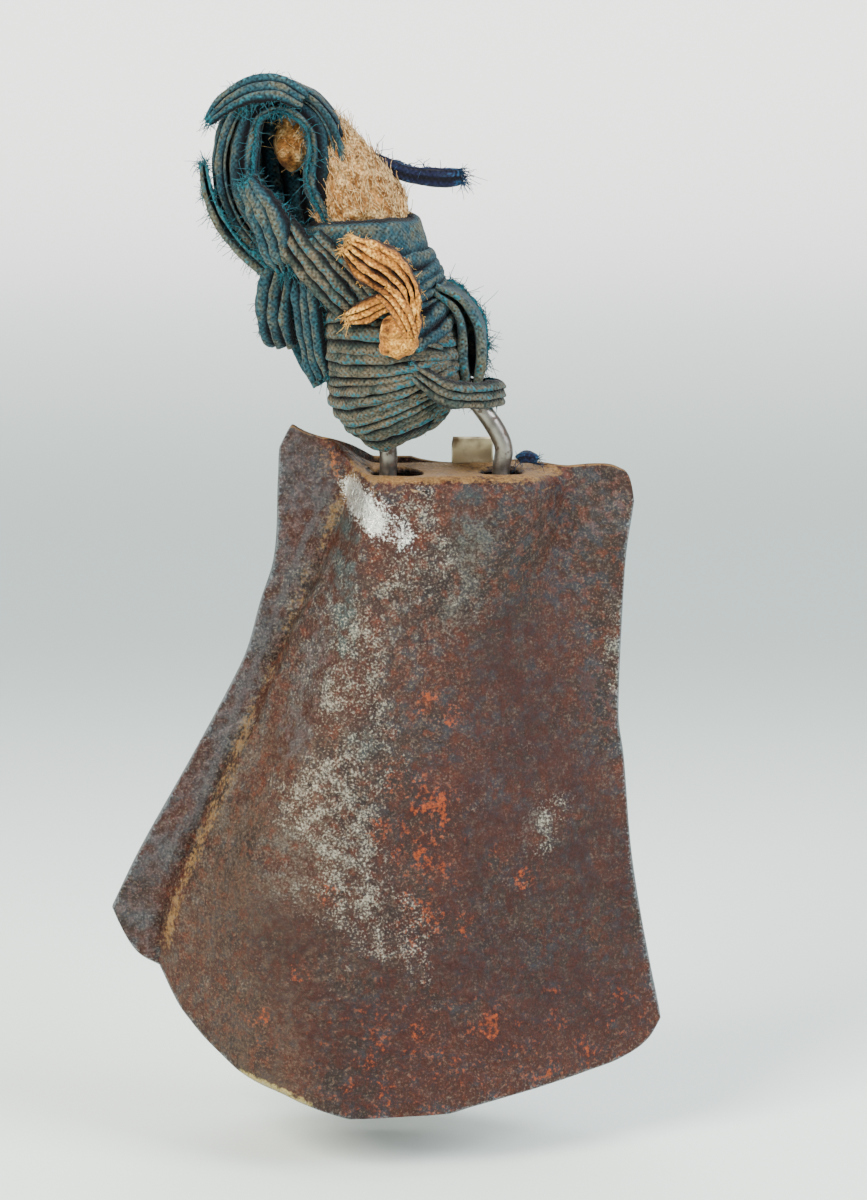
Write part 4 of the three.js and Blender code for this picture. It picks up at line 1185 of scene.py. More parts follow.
def cloth(name, grid, crest, seed, wrinkle=0.25, ragged=0.5, frayed=(0, 0, 0, 0)):
    """A piece of cloth on a grid of points in mm. frayed says how torn its four borders are:
    first column, last column, first row, last row. Returns the object and its moved grid."""
    rows, columns = grid.shape[:2]
    away = bumps(grid, 5.5, seed) + 0.6 * bumps(grid, 2.4, seed + 1) + 0.25 * bumps(grid, 1.1, seed)
    grid = grid + normals_of(grid) * (wrinkle * away)[..., None]
    down = np.cumsum(np.linalg.norm(np.diff(grid, axis=0), axis=-1), 0)
    over = np.cumsum(np.linalg.norm(np.diff(grid, axis=1), axis=-1), 1)
    along_v = np.concatenate([np.zeros((1, columns)), down])
    along_u = np.concatenate([np.zeros((rows, 1)), over], 1)
    u = np.broadcast_to(along_u.mean(0), (rows, columns))
    v = np.broadcast_to(along_v.mean(1)[:, None], (rows, columns))
    torn = ragged * (bumps(grid, 1.6, seed + 2) + 0.8 * bumps(grid, 0.8, seed + 3))
    every = slice(None)
    borders = (
        ((every, 0), (every, 1)), ((every, -1), (every, -2)), ((0, every), (1, every)),
        ((-1, every), (-2, every)),
    )
    for (at, beside), is_frayed in zip(borders, frayed):
        if is_frayed:
            grid[at] = grid[at] + unit(grid[at] - grid[beside]) * torn[at][:, None]
    fray = np.maximum.reduce([
        frayed[0] * np.exp(-u / 1.3), frayed[1] * np.exp(-(u[:, -1:] - u) / 1.3),
        frayed[2] * np.exp(-v / 1.8), frayed[3] * np.exp(-(v[-1:] - v) / 1.8),
    ])
    # How high a point lies on its fold: high points show wear, low ones get painted shade.
    wear_and_shade = np.clip(crest**1.7 * (0.85 + 0.3 * bumps(grid, 6, seed + 8)), 0, 1)
    obj = build(name, grid, quads(rows, columns), np.stack([u, v], -1), {"wear_and_shade": wear_and_shade, "fray": fray})
    solid = obj.modifiers.new("thickness", "SOLIDIFY")
    solid.thickness = CLOTH * MM
    solid.offset = 0
    settle(obj)
    sides = np.cross(grid[1:, 1:] - grid[:-1, :-1], grid[1:, :-1] - grid[:-1, 1:])
    obj["cut"] = (float(u[0, -1]), float(v[-1, 0]), float(np.linalg.norm(sides, axis=-1).sum() / 2))
    return obj, grid


def laid_out(rows, columns, length, width):
    """The place across a strip from 0 to 1, and the points of the flat strip that folds follow."""
    s = np.broadcast_to(np.linspace(0, 1, columns), (rows, columns))
    down = np.broadcast_to(np.linspace(0, length, rows)[:, None], s.shape)
    return s, np.stack([down, s * width, s * 0], -1)


def strip(name, stations, facing, section, seed, columns=72, pace=0.8, drift=0.02, **more):
    """A folded strip along stations [x, y, z above the crown, half size outwards, half across]."""
    raised = [(x + SHIFT, y, CROWN + z, a, b) for x, y, z, a, b in stations]
    rough_length = smooth_path(raised, 8)[1]
    path, length = smooth_path(raised, max(int(rough_length / pace), 8))
    centres = path[:, :3]
    outwards = facing(centres) if callable(facing) else np.tile(facing, (len(centres), 1)).astype(float)
    _, out, across = directions(centres, outwards)
    s, travel = laid_out(len(path), columns, length, 14)
    slide = drift * bumps(travel, 9, seed + 5) + 0.03 * bumps(travel * (0, 1, 0), 3.1, seed + 7)
    po, pa, crest = section(s + slide * np.sin(np.pi * s))
    swing = 1 + 0.1 * bumps(travel, 7, seed + 6)
    grid = centres[:, None] + out[:, None] * (path[:, 3:4] * po * swing)[..., None]
    grid = grid + across[:, None] * (path[:, 4:5] * pa * swing)[..., None]
    return cloth(name, grid, crest, seed, **more)


def from_point(x, z):
    """Outwards means away from an upright line through x, z above the crown, across Y."""
    def facing(centres):
        return np.stack([centres[:, 0] - SHIFT - x, 0 * centres[:, 0], centres[:, 2] - CROWN - z], 1)
    return facing


print("the cloth is", CLOTH, "mm thick, and one layer of it lies on another")


# %% [markdown]
# ## The form under the binding
#
# The wound strips all lie on one body. Its middle line leans to the left and its section is an
# oval, wide in the middle and narrow at both ends. A strip that is wound on it is planned on
# its skin: an angle round it, with 0 in front and 90 on the right, and a height.

# %% The form, and winding on it
DEGREE = 0.24  # mm that one degree of a turn covers on the form, about 14 mm from its middle
# Height, the middle's place, half the width and half the depth.
FORM = [
    (3, -2.8, 2.8, 2.8), (4.4, -2.8, 3.4, 3.4), (7, -2.6, 5.6, 5.2), (11, -1.8, 10.2, 9),
    (16, -1.2, 13.4, 12.4), (23, -0.8, 14.9, 13.8), (30.6, -1.8, 15.3, 14),
    (38.2, -3.4, 14.5, 13.2), (46, -5.4, 14.8, 13.2), (53.6, -7.4, 13.7, 12.3),
    (60, -8.6, 12.3, 11), (66, -9.4, 10.8, 9.6), (75.5, -12, 7.6, 7), (82, -14.4, 2.6, 2.6),
]


def on_form(angle, z, lift):
    """Points on the form, lifted off it by some millimetres. angle is in degrees."""
    middle = along([(row[0], row[1]) for row in FORM], z)
    wide = along([(row[0], row[2]) for row in FORM], z)
    deep = along([(row[0], row[3]) for row in FORM], z)
    a = np.radians(angle)
    x = middle + (wide + lift) * np.sin(a)
    y = -(deep + lift) * np.cos(a)
    return np.stack([x + SHIFT, y, CROWN + z], -1)


def wound(name, path, pleats, seed, frayed, columns=56, pace=0.8, height=1.1, tuck=1.7):
    """A pleated band wound on the form. path holds (angle, height, width, lift) stations."""
    scaled = [(a * DEGREE, z, 0, w, lift) for a, z, w, lift in path]
    length = smooth_path(scaled, 8)[1]
    dense, _ = smooth_path(scaled, max(int(length / pace), 12))
    angle, z, width, lift = dense[:, 0] / DEGREE, dense[:, 1], dense[:, 3], dense[:, 4]
    line = np.stack([dense[:, 0], z, 0 * z], -1)
    z = z + 0.9 * bumps(line, 13, seed + 9) * ease(np.arange(len(z)), 0, 12)
    lift = lift + 0.5 * bumps(line, 9, seed + 10)
    around, up = np.gradient(dense[:, 0]), np.gradient(z)
    norm = np.hypot(around, up)
    s, travel = laid_out(len(z), columns, length, 12)
    slide = 0.05 * bumps(travel, 10, seed + 5) + 0.06 * bumps(travel * (0, 1, 0), 3.3, seed)
    out, a, crest = band(pleats, height, tuck)(s + slide * np.sin(np.pi * s))
    swing = width[:, None] / 2 * (1 + 0.12 * bumps(travel, 8, seed + 6))
    offset_angle = a * swing * (-up / norm)[:, None] / DEGREE
    offset_z = a * swing * (around / norm)[:, None]
    grid = on_form(angle[:, None] + offset_angle, z[:, None] + offset_z, lift[:, None] + out)
    return cloth(name, grid, crest, seed, 0.4, frayed=frayed)


print("the grip is", round(2 * max(row[2] for row in FORM), 1), "mm thick under its binding")


# %% [markdown]
# ## Loose threads
#
# A torn edge lets its crosswise threads go, and they are most of what says "cloth" along an
# outline. Each thread is a thin tapered tube that bends away at random and hangs a little. The
# threads of a piece are one mesh, so a thousand of them cost one object.

# %% Threads
rng = np.random.default_rng(7)
THREAD = 0.13  # mm, radius of a loose thread


def threads(name, roots, heads, finish, length=(0.5, 1.9), curl=1.8, droop=0.5, radius=THREAD,
            segments=6, stray=0.55):
    """Thin tubes in one mesh. Each starts at a root and sets off in its head's direction."""
    count = len(roots)
    lengths = rng.uniform(*length, count)[:, None, None]
    t = np.linspace(0, 1, segments + 1)[None, :, None]
    heads = heads + stray * rng.normal(size=(count, 3))
    heads = heads / np.linalg.norm(heads, axis=1, keepdims=True)
    bend = rng.normal(size=(count, 1, 3)) * curl
    wave = rng.normal(size=(count, 1, 3)) * curl * 0.35
    line = roots[:, None] + heads[:, None] * lengths * t + bend * (t**2) * lengths * 0.5
    line = line + wave * np.sin(t * rng.uniform(4, 9, (count, 1, 1))) * lengths * 0.25 * t
    line[..., 2] -= (droop * lengths * t**2)[..., 0]
    tangent = unit(np.gradient(line, axis=1))
    side = unit(np.cross(tangent, np.array([0.31, 0.52, 0.79])))
    other = np.cross(tangent, side)
    turn = (np.arange(3) * 2 * np.pi / 3)[:, None]
    taper = radius * (1 - 0.6 * t)
    ring = side[..., None, :] * np.cos(turn) + other[..., None, :] * np.sin(turn)
    points = line[..., None, :] + ring * taper[..., None]
    one = np.array(quads(segments + 1, 3, closed=True))
    step = (segments + 1) * 3
    faces = (one[None] + np.arange(count)[:, None, None] * step).reshape(-1, 4).tolist()
    ends = [[k * step + 2, k * step + 1, k * step] for k in range(count)]
    ends += [[k * step + step - 3, k * step + step - 2, k * step + step - 1] for k in range(count)]
    total = points.reshape(-1, 3)
    marks = {"wear_and_shade": np.full(len(total), 0.55), "fray": np.repeat(rng.uniform(0.5, 1.0, count), step)}
    obj = build(name, total, faces + ends, None, marks)
    obj.data.materials.append(finish)
    return obj


def border(grid, which, count, inset=0.15):
    """Random roots and directions along one border of a grid: left, right, first or last."""
    edge, beside = {
        "left": (grid[:, 0], grid[:, 1]), "right": (grid[:, -1], grid[:, -2]),
        "first": (grid[0], grid[1]), "last": (grid[-1], grid[-2]),
    }[which]
    at = rng.uniform(0, len(edge) - 1.001, count)
    k = at.astype(int)
    f = (at - k)[:, None]
    root = edge[k] * (1 - f) + edge[k + 1] * f
    head = unit(root - beside[k] * (1 - f) - beside[k + 1] * f)
    return root - head * inset, head


def fringe(name, edges, finish, **more):
    """Threads along several borders, each given as (grid, border, count)."""
    roots, heads = zip(*[border(*edge) for edge in edges])
    return threads(name, np.concatenate(roots), np.concatenate(heads), finish, **more)


SMALLEST_CUT = 0.01  # m, the smallest side that a cut sheet may have
LEAST_FILLED = 0.31  # a cut piece fills at least this part of its rectangle


def cut_of(obj):
    """The size a strip was cut to, and its area where it tapers, in metres."""
    width, length, area = obj["cut"]
    flat = [max(round(side * MM, 3), SMALLEST_CUT) for side in (width, length)]
    area = min(max(area * MM * MM, LEAST_FILLED * flat[0] * flat[1]), flat[0] * flat[1])
    print("   cut", [round(v / MM) for v in flat], "mm")
    return {"flat": tuple(flat), "area": area}


def bind(obj, finish, slot, *nodes, held="folded", on=("iron_ring",), trims=()):
    """Dresses a strip, says what cloth it was cut from, and lets its threads ride with it."""
    dress(obj, finish, "handle", slot, *nodes)
    for trim in trims:
        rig.ride(trim, "handle")
        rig.slot(trim, slot)
    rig.sheet(obj, held=held, rests_on=list(on), with_pieces=list(trims), **cut_of(obj))


print("a loose thread is", 2 * THREAD, "mm thick at its root")


# %% [markdown]
# ## The loop at the top
#
# At its top the ring turns back on itself and leaves an eye. One strip, rolled with many ribs,
# goes over the outside of the ring. A second one, softer and wider, wraps the ring itself, and
# its torn inner edge hangs into the eye. Both run down into the binding below.

# %% The loop
EYE = (-28, 72)  # the middle of the eye: how far to the right, and above the crown

outer, outer_grid = strip("loop_outer_strip", [
    (-14.6, 0, 50, 1.9, 6.6), (-14.4, 0, 57, 2.0, 7.2), (-13.5, 0, 66, 2.1, 7.5), (-14.2, 0, 79, 2.1, 7.5),
    (-19.4, 0, 87.6, 1.9, 7), (-28, 0, 91.2, 1.7, 6.5), (-36, 0, 88.2, 1.8, 6.5), (-40.8, 0, 80, 1.9, 7),
    (-41.8, 0, 70, 2, 7), (-38.6, 0, 60, 1.9, 6.5), (-32.5, 0, 52, 1.6, 6), (-29.5, 0, 48.5, 1.3, 5),
], from_point(*EYE), rolled(6, start=2.2, depth=0.34), 1, columns=130, drift=0.04,
    frayed=(0.3, 1, 0.2, 0.2))
trim = fringe("loop_outer_threads", [(outer_grid, "right", 260), (outer_grid, "left", 60)], blue_cotton)
bind(outer, blue_cotton, "blue_cotton", "loop_outer", trims=[trim])

inner, inner_grid = strip("loop_inner_strip", [
    (-11.8, -1.2, 52, 2.8, 5), (-14.6, -1.4, 60, 3.4, 5.8), (-18.9, -1.4, 69, 3.9, 6.2),
    (-18.6, -1.4, 76, 3.1, 6.2), (-19.4, -1.2, 81.6, 2.6, 6), (-23.6, -1, 86, 2.6, 5.8),
    (-28.6, -1, 87.4, 2.5, 5.6), (-33.4, -1, 85, 2.8, 5.8), (-35.6, -1, 79, 3.4, 6),
    (-36.2, -1, 71, 3.6, 6), (-34.4, -1, 63, 3.2, 5.5), (-29.8, -1, 55, 2.6, 5),
], from_point(*EYE), rolled(4, start=3.5, depth=0.22, turns=1.1), 2, columns=120, drift=0.05,
    frayed=(1, 1, 0.2, 0.2))
trim = fringe("loop_inner_threads", [(inner_grid, "right", 420), (inner_grid, "left", 120)],
              blue_cotton, length=(0.6, 2.2))
bind(inner, blue_cotton, "blue_cotton", "loop_inner", trims=[trim])

# A sheet of cotton behind the eye, put there so that the eye reads as dark shade.
shade_backing, _ = strip("eye_shade_backing", [
    (-28.6, 5.2, 88, 0.8, 4), (-28.4, 5.6, 80, 0.9, 7.6), (-27.6, 5.8, 70, 0.9, 8.4),
    (-26, 5.6, 60, 0.9, 7.6), (-22, 5, 50, 0.9, 6),
], (0, 1, 0), band(4, 0.9, 0.4), 9, columns=70, wrinkle=0.5, frayed=(0.2, 0.2, 0.2, 0.2))
bind(shade_backing, blue_cotton, "blue_cotton", held="laid", on=["loop_inner_strip"])

wing, wing_grid = strip("wing_strip_torn", [
    (-46, -2, 73.4, 0.9, 3), (-44.8, -2.4, 66.5, 1.4, 3.8), (-41, -2.6, 58, 1.7, 4.2),
    (-35, -2.4, 51, 1.8, 4.2), (-30.4, -2, 47, 1.4, 3.8),
], from_point(-28, 76), zigzag(3), 3, columns=60, frayed=(1, 1, 1, 0.4))
trim = fringe("wing_threads", [(wing_grid, "right", 130), (wing_grid, "left", 130), (wing_grid, "first", 70)],
              blue_cotton)
bind(wing, blue_cotton, "blue_cotton", "wing_strip", trims=[trim])

top, top_grid = strip("top_tail_torn", [
    (-22, -6.4, 88.4, 0.5, 2.4), (-27, -7, 91.2, 0.6, 3.0), (-33, -7, 91.4, 0.7, 3.2),
    (-38.4, -6, 89.2, 0.7, 2.8), (-42.4, -5, 86, 0.6, 2.0), (-44.4, -4.6, 83.4, 0.5, 1.0),
], (-0.2, -0.9, 0.35), band(3, 0.9, 0.8), 4, columns=40, frayed=(1, 1, 0.3, 1))
trim = fringe("top_tail_threads", [(top_grid, "right", 110), (top_grid, "left", 110), (top_grid, "last", 40)],
              blue_cotton)
bind(top, blue_cotton, "blue_cotton", "top_tail", on=["loop_outer_strip"], trims=[trim])

# %% [markdown]
# ## The fibre core
#
# A wad of raw hemp fills the space between the two sides of the ring and makes the grip thick
# enough to hold. It shows only at the top, and as a lump in the eye. Its skin is lumpy, and
# loose fibres lie over it in every direction.

# %% The core
AROUND = 96
BARE_FROM = 58  # above this height over the crown the fibre shows
angles = np.linspace(0, 360, AROUND, endpoint=False)
levels = np.linspace(10, 81.5, 110)
a, z = np.meshgrid(angles, levels)
skin = on_form(a, z, -2.0 + 1.4 * ease(z, 58, 64))
lump = 1.1 * bumps(skin, 7, 51) + 0.6 * bumps(skin, 3, 52) + 0.45 * bumps(skin, 1.3, 53)
skin = skin + normals_of(skin) * (lump * ease(z, 50, 60))[..., None]
# Below its bare top the core takes the deep colour, painted shade under the binding.
wear_and_shade = ease(z, 57, 60) * np.clip(0.7 + 0.45 * bumps(skin, 1.6, 54) + 0.3 * bumps(skin, 5, 55), 0.1, 1)
ends = np.array([skin[0].mean(0), skin[-1].mean(0)])
points = np.concatenate([skin.reshape(-1, 3), ends])
faces = quads(*a.shape, closed=True)
low_end, high_end = len(points) - 2, len(points) - 1
last = (len(levels) - 1) * AROUND
faces += [[low_end, (k + 1) % AROUND, k] for k in range(AROUND)]
faces += [[high_end, last + k, last + (k + 1) % AROUND] for k in range(AROUND)]
marks = {"wear_and_shade": [*wear_and_shade.ravel(), 0, 0.7], "fray": np.zeros(len(points))}
core = build("fibre_core", points, faces, None, marks)


def lump_of(name, centre, size, seed, rough, rows=40, columns=56):
    """A rough lump: a ball of points pushed in and out."""
    polar = np.linspace(0.02, np.pi - 0.02, rows)
    turn = np.linspace(0, 2 * np.pi, columns, endpoint=False)
    p, t = np.meshgrid(polar, turn, indexing="ij")
    outward = np.stack([np.sin(p) * np.cos(t), np.sin(p) * np.sin(t), -np.cos(p)], -1)
    grid = outward * np.array(size)
    swell = bumps(grid, 5, seed) + 0.6 * bumps(grid, 2.2, seed + 1) + 0.35 * bumps(grid, 1.1, seed + 2)
    grid = grid + outward * rough * swell[..., None] + np.array(centre) + (SHIFT, 0, CROWN)
    crest = np.clip(0.62 + 0.6 * bumps(grid, 1.8, seed + 3), 0.05, 1)
    faces = quads(rows, columns, closed=True)
    faces.append(list(range(columns))[::-1])
    faces.append([(rows - 1) * columns + k for k in range(columns)])
    marks = {"wear_and_shade": crest, "fray": np.zeros(crest.shape)}
    return build(name, grid, faces, None, marks)


CHUNK = (-24.6, 2.6, 78.5)
chunk = lump_of("fibre_lump", CHUNK, (4.2, 3.6, 7.0), 61, 0.9)
spots = rng.integers(0, skin.shape[0] * skin.shape[1], 3600)
spots = spots[skin.reshape(-1, 3)[spots, 2] > CROWN + BARE_FROM][:1300]
roots = skin.reshape(-1, 3)[spots]
normal = normals_of(skin).reshape(-1, 3)[spots]
heads = np.array([-0.35, 0.0, 1.0]) + 0.35 * rng.normal(size=normal.shape)
heads = heads - (heads * normal).sum(1, keepdims=True) * normal
fibres = threads("core_fibres", roots + 0.1 * normal, heads, raw_fibre, (2.0, 6.0), 0.35, 0.0, 0.14, 8, 0.03)
eye_points = rng.normal(size=(120, 3))
eye_points /= np.linalg.norm(eye_points, axis=1, keepdims=True)
eye_roots = eye_points * (4.3, 3.7, 7.1) + np.array(CHUNK) + (SHIFT, 0, CROWN)
turned_heads = np.cross(eye_points, rng.normal(size=eye_points.shape)) + 0.3 * eye_points
eye_fibres = threads("lump_fibres", eye_roots, turned_heads, raw_fibre, (1.5, 4.0), 0.8, 0.1, 0.14)
dress(core, raw_fibre, "handle", "raw_fibre", "handle_core")
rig.padded(core, fill=0.9)
for piece in (chunk, fibres, eye_fibres):
    dress(piece, raw_fibre, "handle", "raw_fibre")
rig.padded(chunk, fill=0.8)

# %% [markdown]
# ## The lower grip
#
# The grip is a fan of pleated turns. They all come out from under the tie on the right in front,
# spread out to the left, and go round the back side by side. The lowest ones close the grip
# round the left leg of the ring.

# %% The turns of the lower grip
LOWER = {
    "a": ([(96, 17, 10, 0.2), (40, 12, 10, 0.2), (-20, 8.4, 7, 0.1), (-80, 9.2, 6.4, -0.3),
           (-150, 9.8, 6, -0.7), (-230, 9.8, 6, -0.7), (-300, 10, 6, -0.5)], 2),
    "b": ([(62, 22.5, 4, 0.3), (30, 18.6, 6.5, 0.8), (-10, 14.2, 8, 0.7), (-60, 11.6, 7, 0.4),
           (-130, 12.6, 7, 0.3), (-210, 13, 7, 0.2), (-310, 14, 7, 0.1)], 4),
    "c": ([(56, 25, 3, 0.9), (30, 22.4, 4.6, 1.2), (-10, 17.8, 6, 1.0), (-60, 15.6, 6.4, 0.5),
           (-130, 16.6, 6, 0.4), (-210, 17, 6, 0.3), (-316, 18, 6, 0.2)], 2),
    "d": ([(50, 26.6, 2.4, 1.3), (28, 24.8, 3.6, 1.5), (-10, 21.4, 4.8, 1.2), (-60, 19.0, 5.6, 0.6),
           (-130, 20.4, 6, 0.5), (-210, 20.6, 6, 0.4), (-316, 21.6, 6, 0.3)], 2),
    "e": ([(48, 28, 2.2, 1.6), (26, 26.8, 3, 1.8), (-10, 24.6, 4.4, 1.4), (-60, 23, 5.2, 0.7),
           (-130, 23.8, 6, 0.5), (-210, 24, 6, 0.4), (-316, 24.6, 6, 0.3)], 2),
    "f": ([(46, 28.6, 2.6, 1.5), (24, 28.2, 4.4, 1.5), (-10, 27.8, 5.4, 1.2), (-60, 27.2, 5.8, 0.8),
           (-130, 27.4, 6, 0.6), (-210, 27.4, 6, 0.4), (-316, 27.8, 6, 0.3)], 2),
    "g": ([(44, 30.4, 3, 1.2), (20, 32, 6.4, 1.2), (-15, 33, 8.6, 1.1), (-60, 32.2, 8.6, 0.8),
           (-130, 31.6, 8, 0.6), (-210, 31, 7, 0.4), (-316, 31, 7, 0.3)], 2),
    "h": ([(16, 37, 3.4, 0.4), (-6, 38.2, 6.4, 1.0), (-36, 37.6, 7.6, 1.2), (-72, 35.8, 7.6, 0.9),
           (-130, 35.4, 7, 0.6), (-210, 35.4, 7, 0.5), (-310, 35.6, 7, 0.4)], 2),
}
for seed, (key, (path, pleats)) in enumerate(LOWER.items()):
    turn_of, grid_of = wound(f"grip_turn_{key}", path, pleats, 70 + seed, (0.6, 0.35, 0.5, 0.5))
    edges = [(grid_of, "left", 46), (grid_of, "right", 22)]
    trim = fringe(f"grip_threads_{key}", edges, blue_cotton, length=(0.4, 1.4), curl=1.2)
    nodes = ["grip_wrap"] if key == "a" else []
    bind(turn_of, worn_cotton, "worn_cotton", *nodes, on=["fibre_core"], trims=[trim])

# %% [markdown]
# ## The upper grip
#
# Above, wider and flatter turns cover the fibre. Two go straight round under its bare top, and
# two climb from the front to the right, where a hatch of fine pleats shows.

# %% The turns of the upper grip
UPPER = {
    "a": ([(-100, 54.5, 9, 0.1), (-40, 55.6, 9.4, 0.3), (20, 56.6, 9.6, 0.4), (80, 56.4, 9.4, 0.4),
           (150, 55.6, 9, 0.3), (225, 55, 9, 0.2), (262, 54.5, 9, 0.0)], 1, blue_cotton),
    "b": ([(-96, 47, 8, 0.1), (-40, 47.6, 8.4, 0.2), (20, 48.8, 8.6, 0.3), (80, 49, 8.6, 0.3),
           (150, 48.6, 8.6, 0.3), (225, 48, 8.4, 0.2), (266, 47, 8, 0.0)], 2, blue_cotton),
    "c": ([(-14, 41.6, 5, -0.4), (22, 42, 7, 0.1), (60, 44.6, 9, 0.8), (100, 46, 9, 0.9), (150, 44.6, 8, 0.7),
           (215, 43, 8, 0.4), (262, 42, 8, 0.2)], 4, blue_cotton),
    "d": ([(18, 31.4, 3, 1.6), (34, 35, 6, 1.6), (62, 38.2, 8, 1.2), (100, 39, 8.6, 0.9),
           (150, 39.4, 8.6, 0.6),
           (215, 40, 8, 0.4), (266, 41, 8, 0.2)], 2, blue_cotton),
    "e": ([(-110, 41, 8, 0.2), (-60, 42.4, 8, 0.4), (-20, 43.4, 7, 0.0), (10, 44, 5, -0.6)], 2, worn_cotton),
}
for seed, (key, (path, pleats, finish)) in enumerate(UPPER.items()):
    turn_of, grid_of = wound(f"upper_turn_{key}", path, pleats, 90 + seed, (0.8, 0.8, 0.8, 0.5))
    edges = [(grid_of, "left", 60), (grid_of, "right", 60), (grid_of, "first", 16)]
    trim = fringe(f"upper_threads_{key}", edges, blue_cotton, length=(0.4, 1.8), curl=1.3)
    nodes = ["upper_wrap"] if key == "a" else []
    bind(turn_of, finish, "blue_cotton", *nodes, on=["fibre_core"], trims=[trim])

# %% [markdown]
# ## Loops, folds and the tie
#
# Where a strip changes direction it stands off the grip: as an upright fold on the left, as a
# stack of folds on the right, and as the tie, a folded band that comes out of the front, goes
# round the right leg of the ring and back behind.

# %% The fold that hangs on the left
def from_inside_the_fold(centres):
    return np.stack([0 * centres[:, 0] - 0.2, centres[:, 1] + 1.6, centres[:, 2] - CROWN - 42], 1)


hanging, hanging_grid = strip("hanging_fold", [
    (-25.4, -6.6, 53, 0.9, 3.2), (-28.2, -7, 46.5, 1.1, 3.9), (-29.4, -6.6, 39, 1.2, 4),
    (-28.8, -5.2, 33.2, 1.2, 4), (-27.6, -1.6, 30.2, 1.2, 3.8), (-26.6, 2.2, 33.4, 1.1, 3.8),
    (-25.2, 3.4, 40, 1, 4.2), (-23.4, 3.4, 48, 1, 4.2),
], from_inside_the_fold, band(3, 0.8, 1.2), 101, columns=56, wrinkle=0.55, frayed=(1, 1, 0.4, 0.6))
second, second_grid = strip("hanging_fold_inner", [
    (-22.6, -7.4, 50, 1.0, 3.4), (-21.8, -8.4, 42.6, 1.1, 3.6), (-21.2, -7.6, 35.6, 1.1, 3.4),
    (-20.4, -5.6, 28.6, 1, 3.2), (-18.4, -4.4, 22.4, 0.9, 2.8),
], (-0.45, -0.9, 0), band(3, 0.8, 0.8), 103, columns=48, wrinkle=0.5, frayed=(1, 0.6, 0.3, 0.4))
back_strip, _ = strip("hanging_fold_back", [
    (-24.6, 1.6, 52, 1.0, 3.6), (-24.8, 2.4, 44, 1.1, 4.4), (-23.8, 2.4, 36, 1.1, 4.2),
    (-21.6, 1.4, 29, 1, 3.8), (-17.6, 0.4, 20.8, 0.9, 3.2),
], (-0.2, -0.97, 0), band(2, 1.0, 0.8), 104, columns=36, frayed=(1, 1, 0.3, 0.6))
trim = fringe("hanging_threads", [(hanging_grid, "left", 110), (hanging_grid, "right", 140),
                                  (second_grid, "left", 60), (second_grid, "last", 20)], blue_cotton)
for piece in (second, back_strip):
    piece.data.materials.append(blue_cotton)
bind(hanging, blue_cotton, "blue_cotton", "hanging_loop", held="hung", trims=[second, back_strip, trim])

# %% [markdown]
# ## The strip across the front
#
# A flat strip comes down from under the eye to the knot, with a narrower one beside it. Above,
# both are torn, so a short crumpled end lies over them with threads on all its sides. They are
# made with the same section as the turns, only flatter, and laid on the upper grip.

# %% The strip across the front
diagonal, diagonal_grid = strip("diagonal_strip_flat", [
    (-33.4, -8.4, 67, 0.9, 2.4), (-29, -9.6, 62, 1.1, 3.2), (-24.4, -12.6, 55.4, 1.2, 3.8),
    (-19.4, -14.6, 49.4, 1.2, 4.0), (-13.4, -15, 42.4, 1.1, 3.6), (-9.4, -12.6, 38.6, 1, 3),
], (-0.2, -0.98, 0), band(3, 0.7, 0.8), 105, columns=54, wrinkle=0.45, frayed=(0.9, 0.8, 1, 0.3))
cross, cross_grid = strip("diagonal_strip_narrow", [
    (-19.6, -13.2, 57.6, 0.8, 1.9), (-14.4, -14.6, 52.2, 0.9, 2.1), (-9, -15.4, 46.6, 0.9, 2.2),
    (-4.6, -15.6, 41.6, 0.8, 2),
], (0, -1, 0), band(2, 0.6, 0.8), 107, columns=34, wrinkle=0.4, frayed=(0.8, 0.8, 0.8, 0.3))
torn, torn_grid = strip("torn_ends", [
    (-35.4, -8.8, 70, 0.7, 2.0), (-32.4, -10.6, 65, 1.2, 3.4), (-30, -11.6, 59.4, 1.3, 4.2),
    (-28.4, -10.6, 53.4, 1.0, 3.6), (-26.6, -9, 48.6, 0.7, 2.4),
], (-0.3, -0.95, 0), band(3, 0.9, 0.9), 137, columns=60, wrinkle=0.9, frayed=(1, 1, 1, 1))
torn.data.materials.append(blue_cotton)
mess = [
    (torn_grid, "left", 150), (torn_grid, "right", 150), (torn_grid, "first", 70),
    (torn_grid, "last", 50), (diagonal_grid, "left", 90), (diagonal_grid, "right", 60),
    (diagonal_grid, "first", 90), (cross_grid, "left", 40), (cross_grid, "right", 40),
]
trim = fringe("diagonal_threads", mess, blue_cotton)
cross.data.materials.append(worn_cotton)
bind(diagonal, worn_cotton, "blue_cotton", "diagonal_strip", held="laid", on=["upper_turn_b"],
     trims=[cross, torn, trim])

# %% The folds on the right
fold, fold_grid = strip("side_fold_stack", [
    (7.6, -4, 44.6, 1.6, 5), (13.6, -2.4, 41, 2.6, 5.8), (16.8, -1.2, 34.8, 3.9, 6.2),
    (17.4, -0.6, 27.6, 4.4, 6.4), (17.4, -0.4, 21.4, 2.8, 6),
], from_point(4, 30), zigzag(4), 109, columns=96, frayed=(1, 1, 0.3, 0.3))
trim = fringe("side_fold_threads", [(fold_grid, "left", 60), (fold_grid, "right", 170)], blue_cotton)
bind(fold, blue_cotton, "blue_cotton", "side_fold", held="hung", trims=[trim])


# %% The tie
def from_the_grip(centres):
    return np.stack([centres[:, 0] - SHIFT - 6, centres[:, 1], 0 * centres[:, 0]], 1)


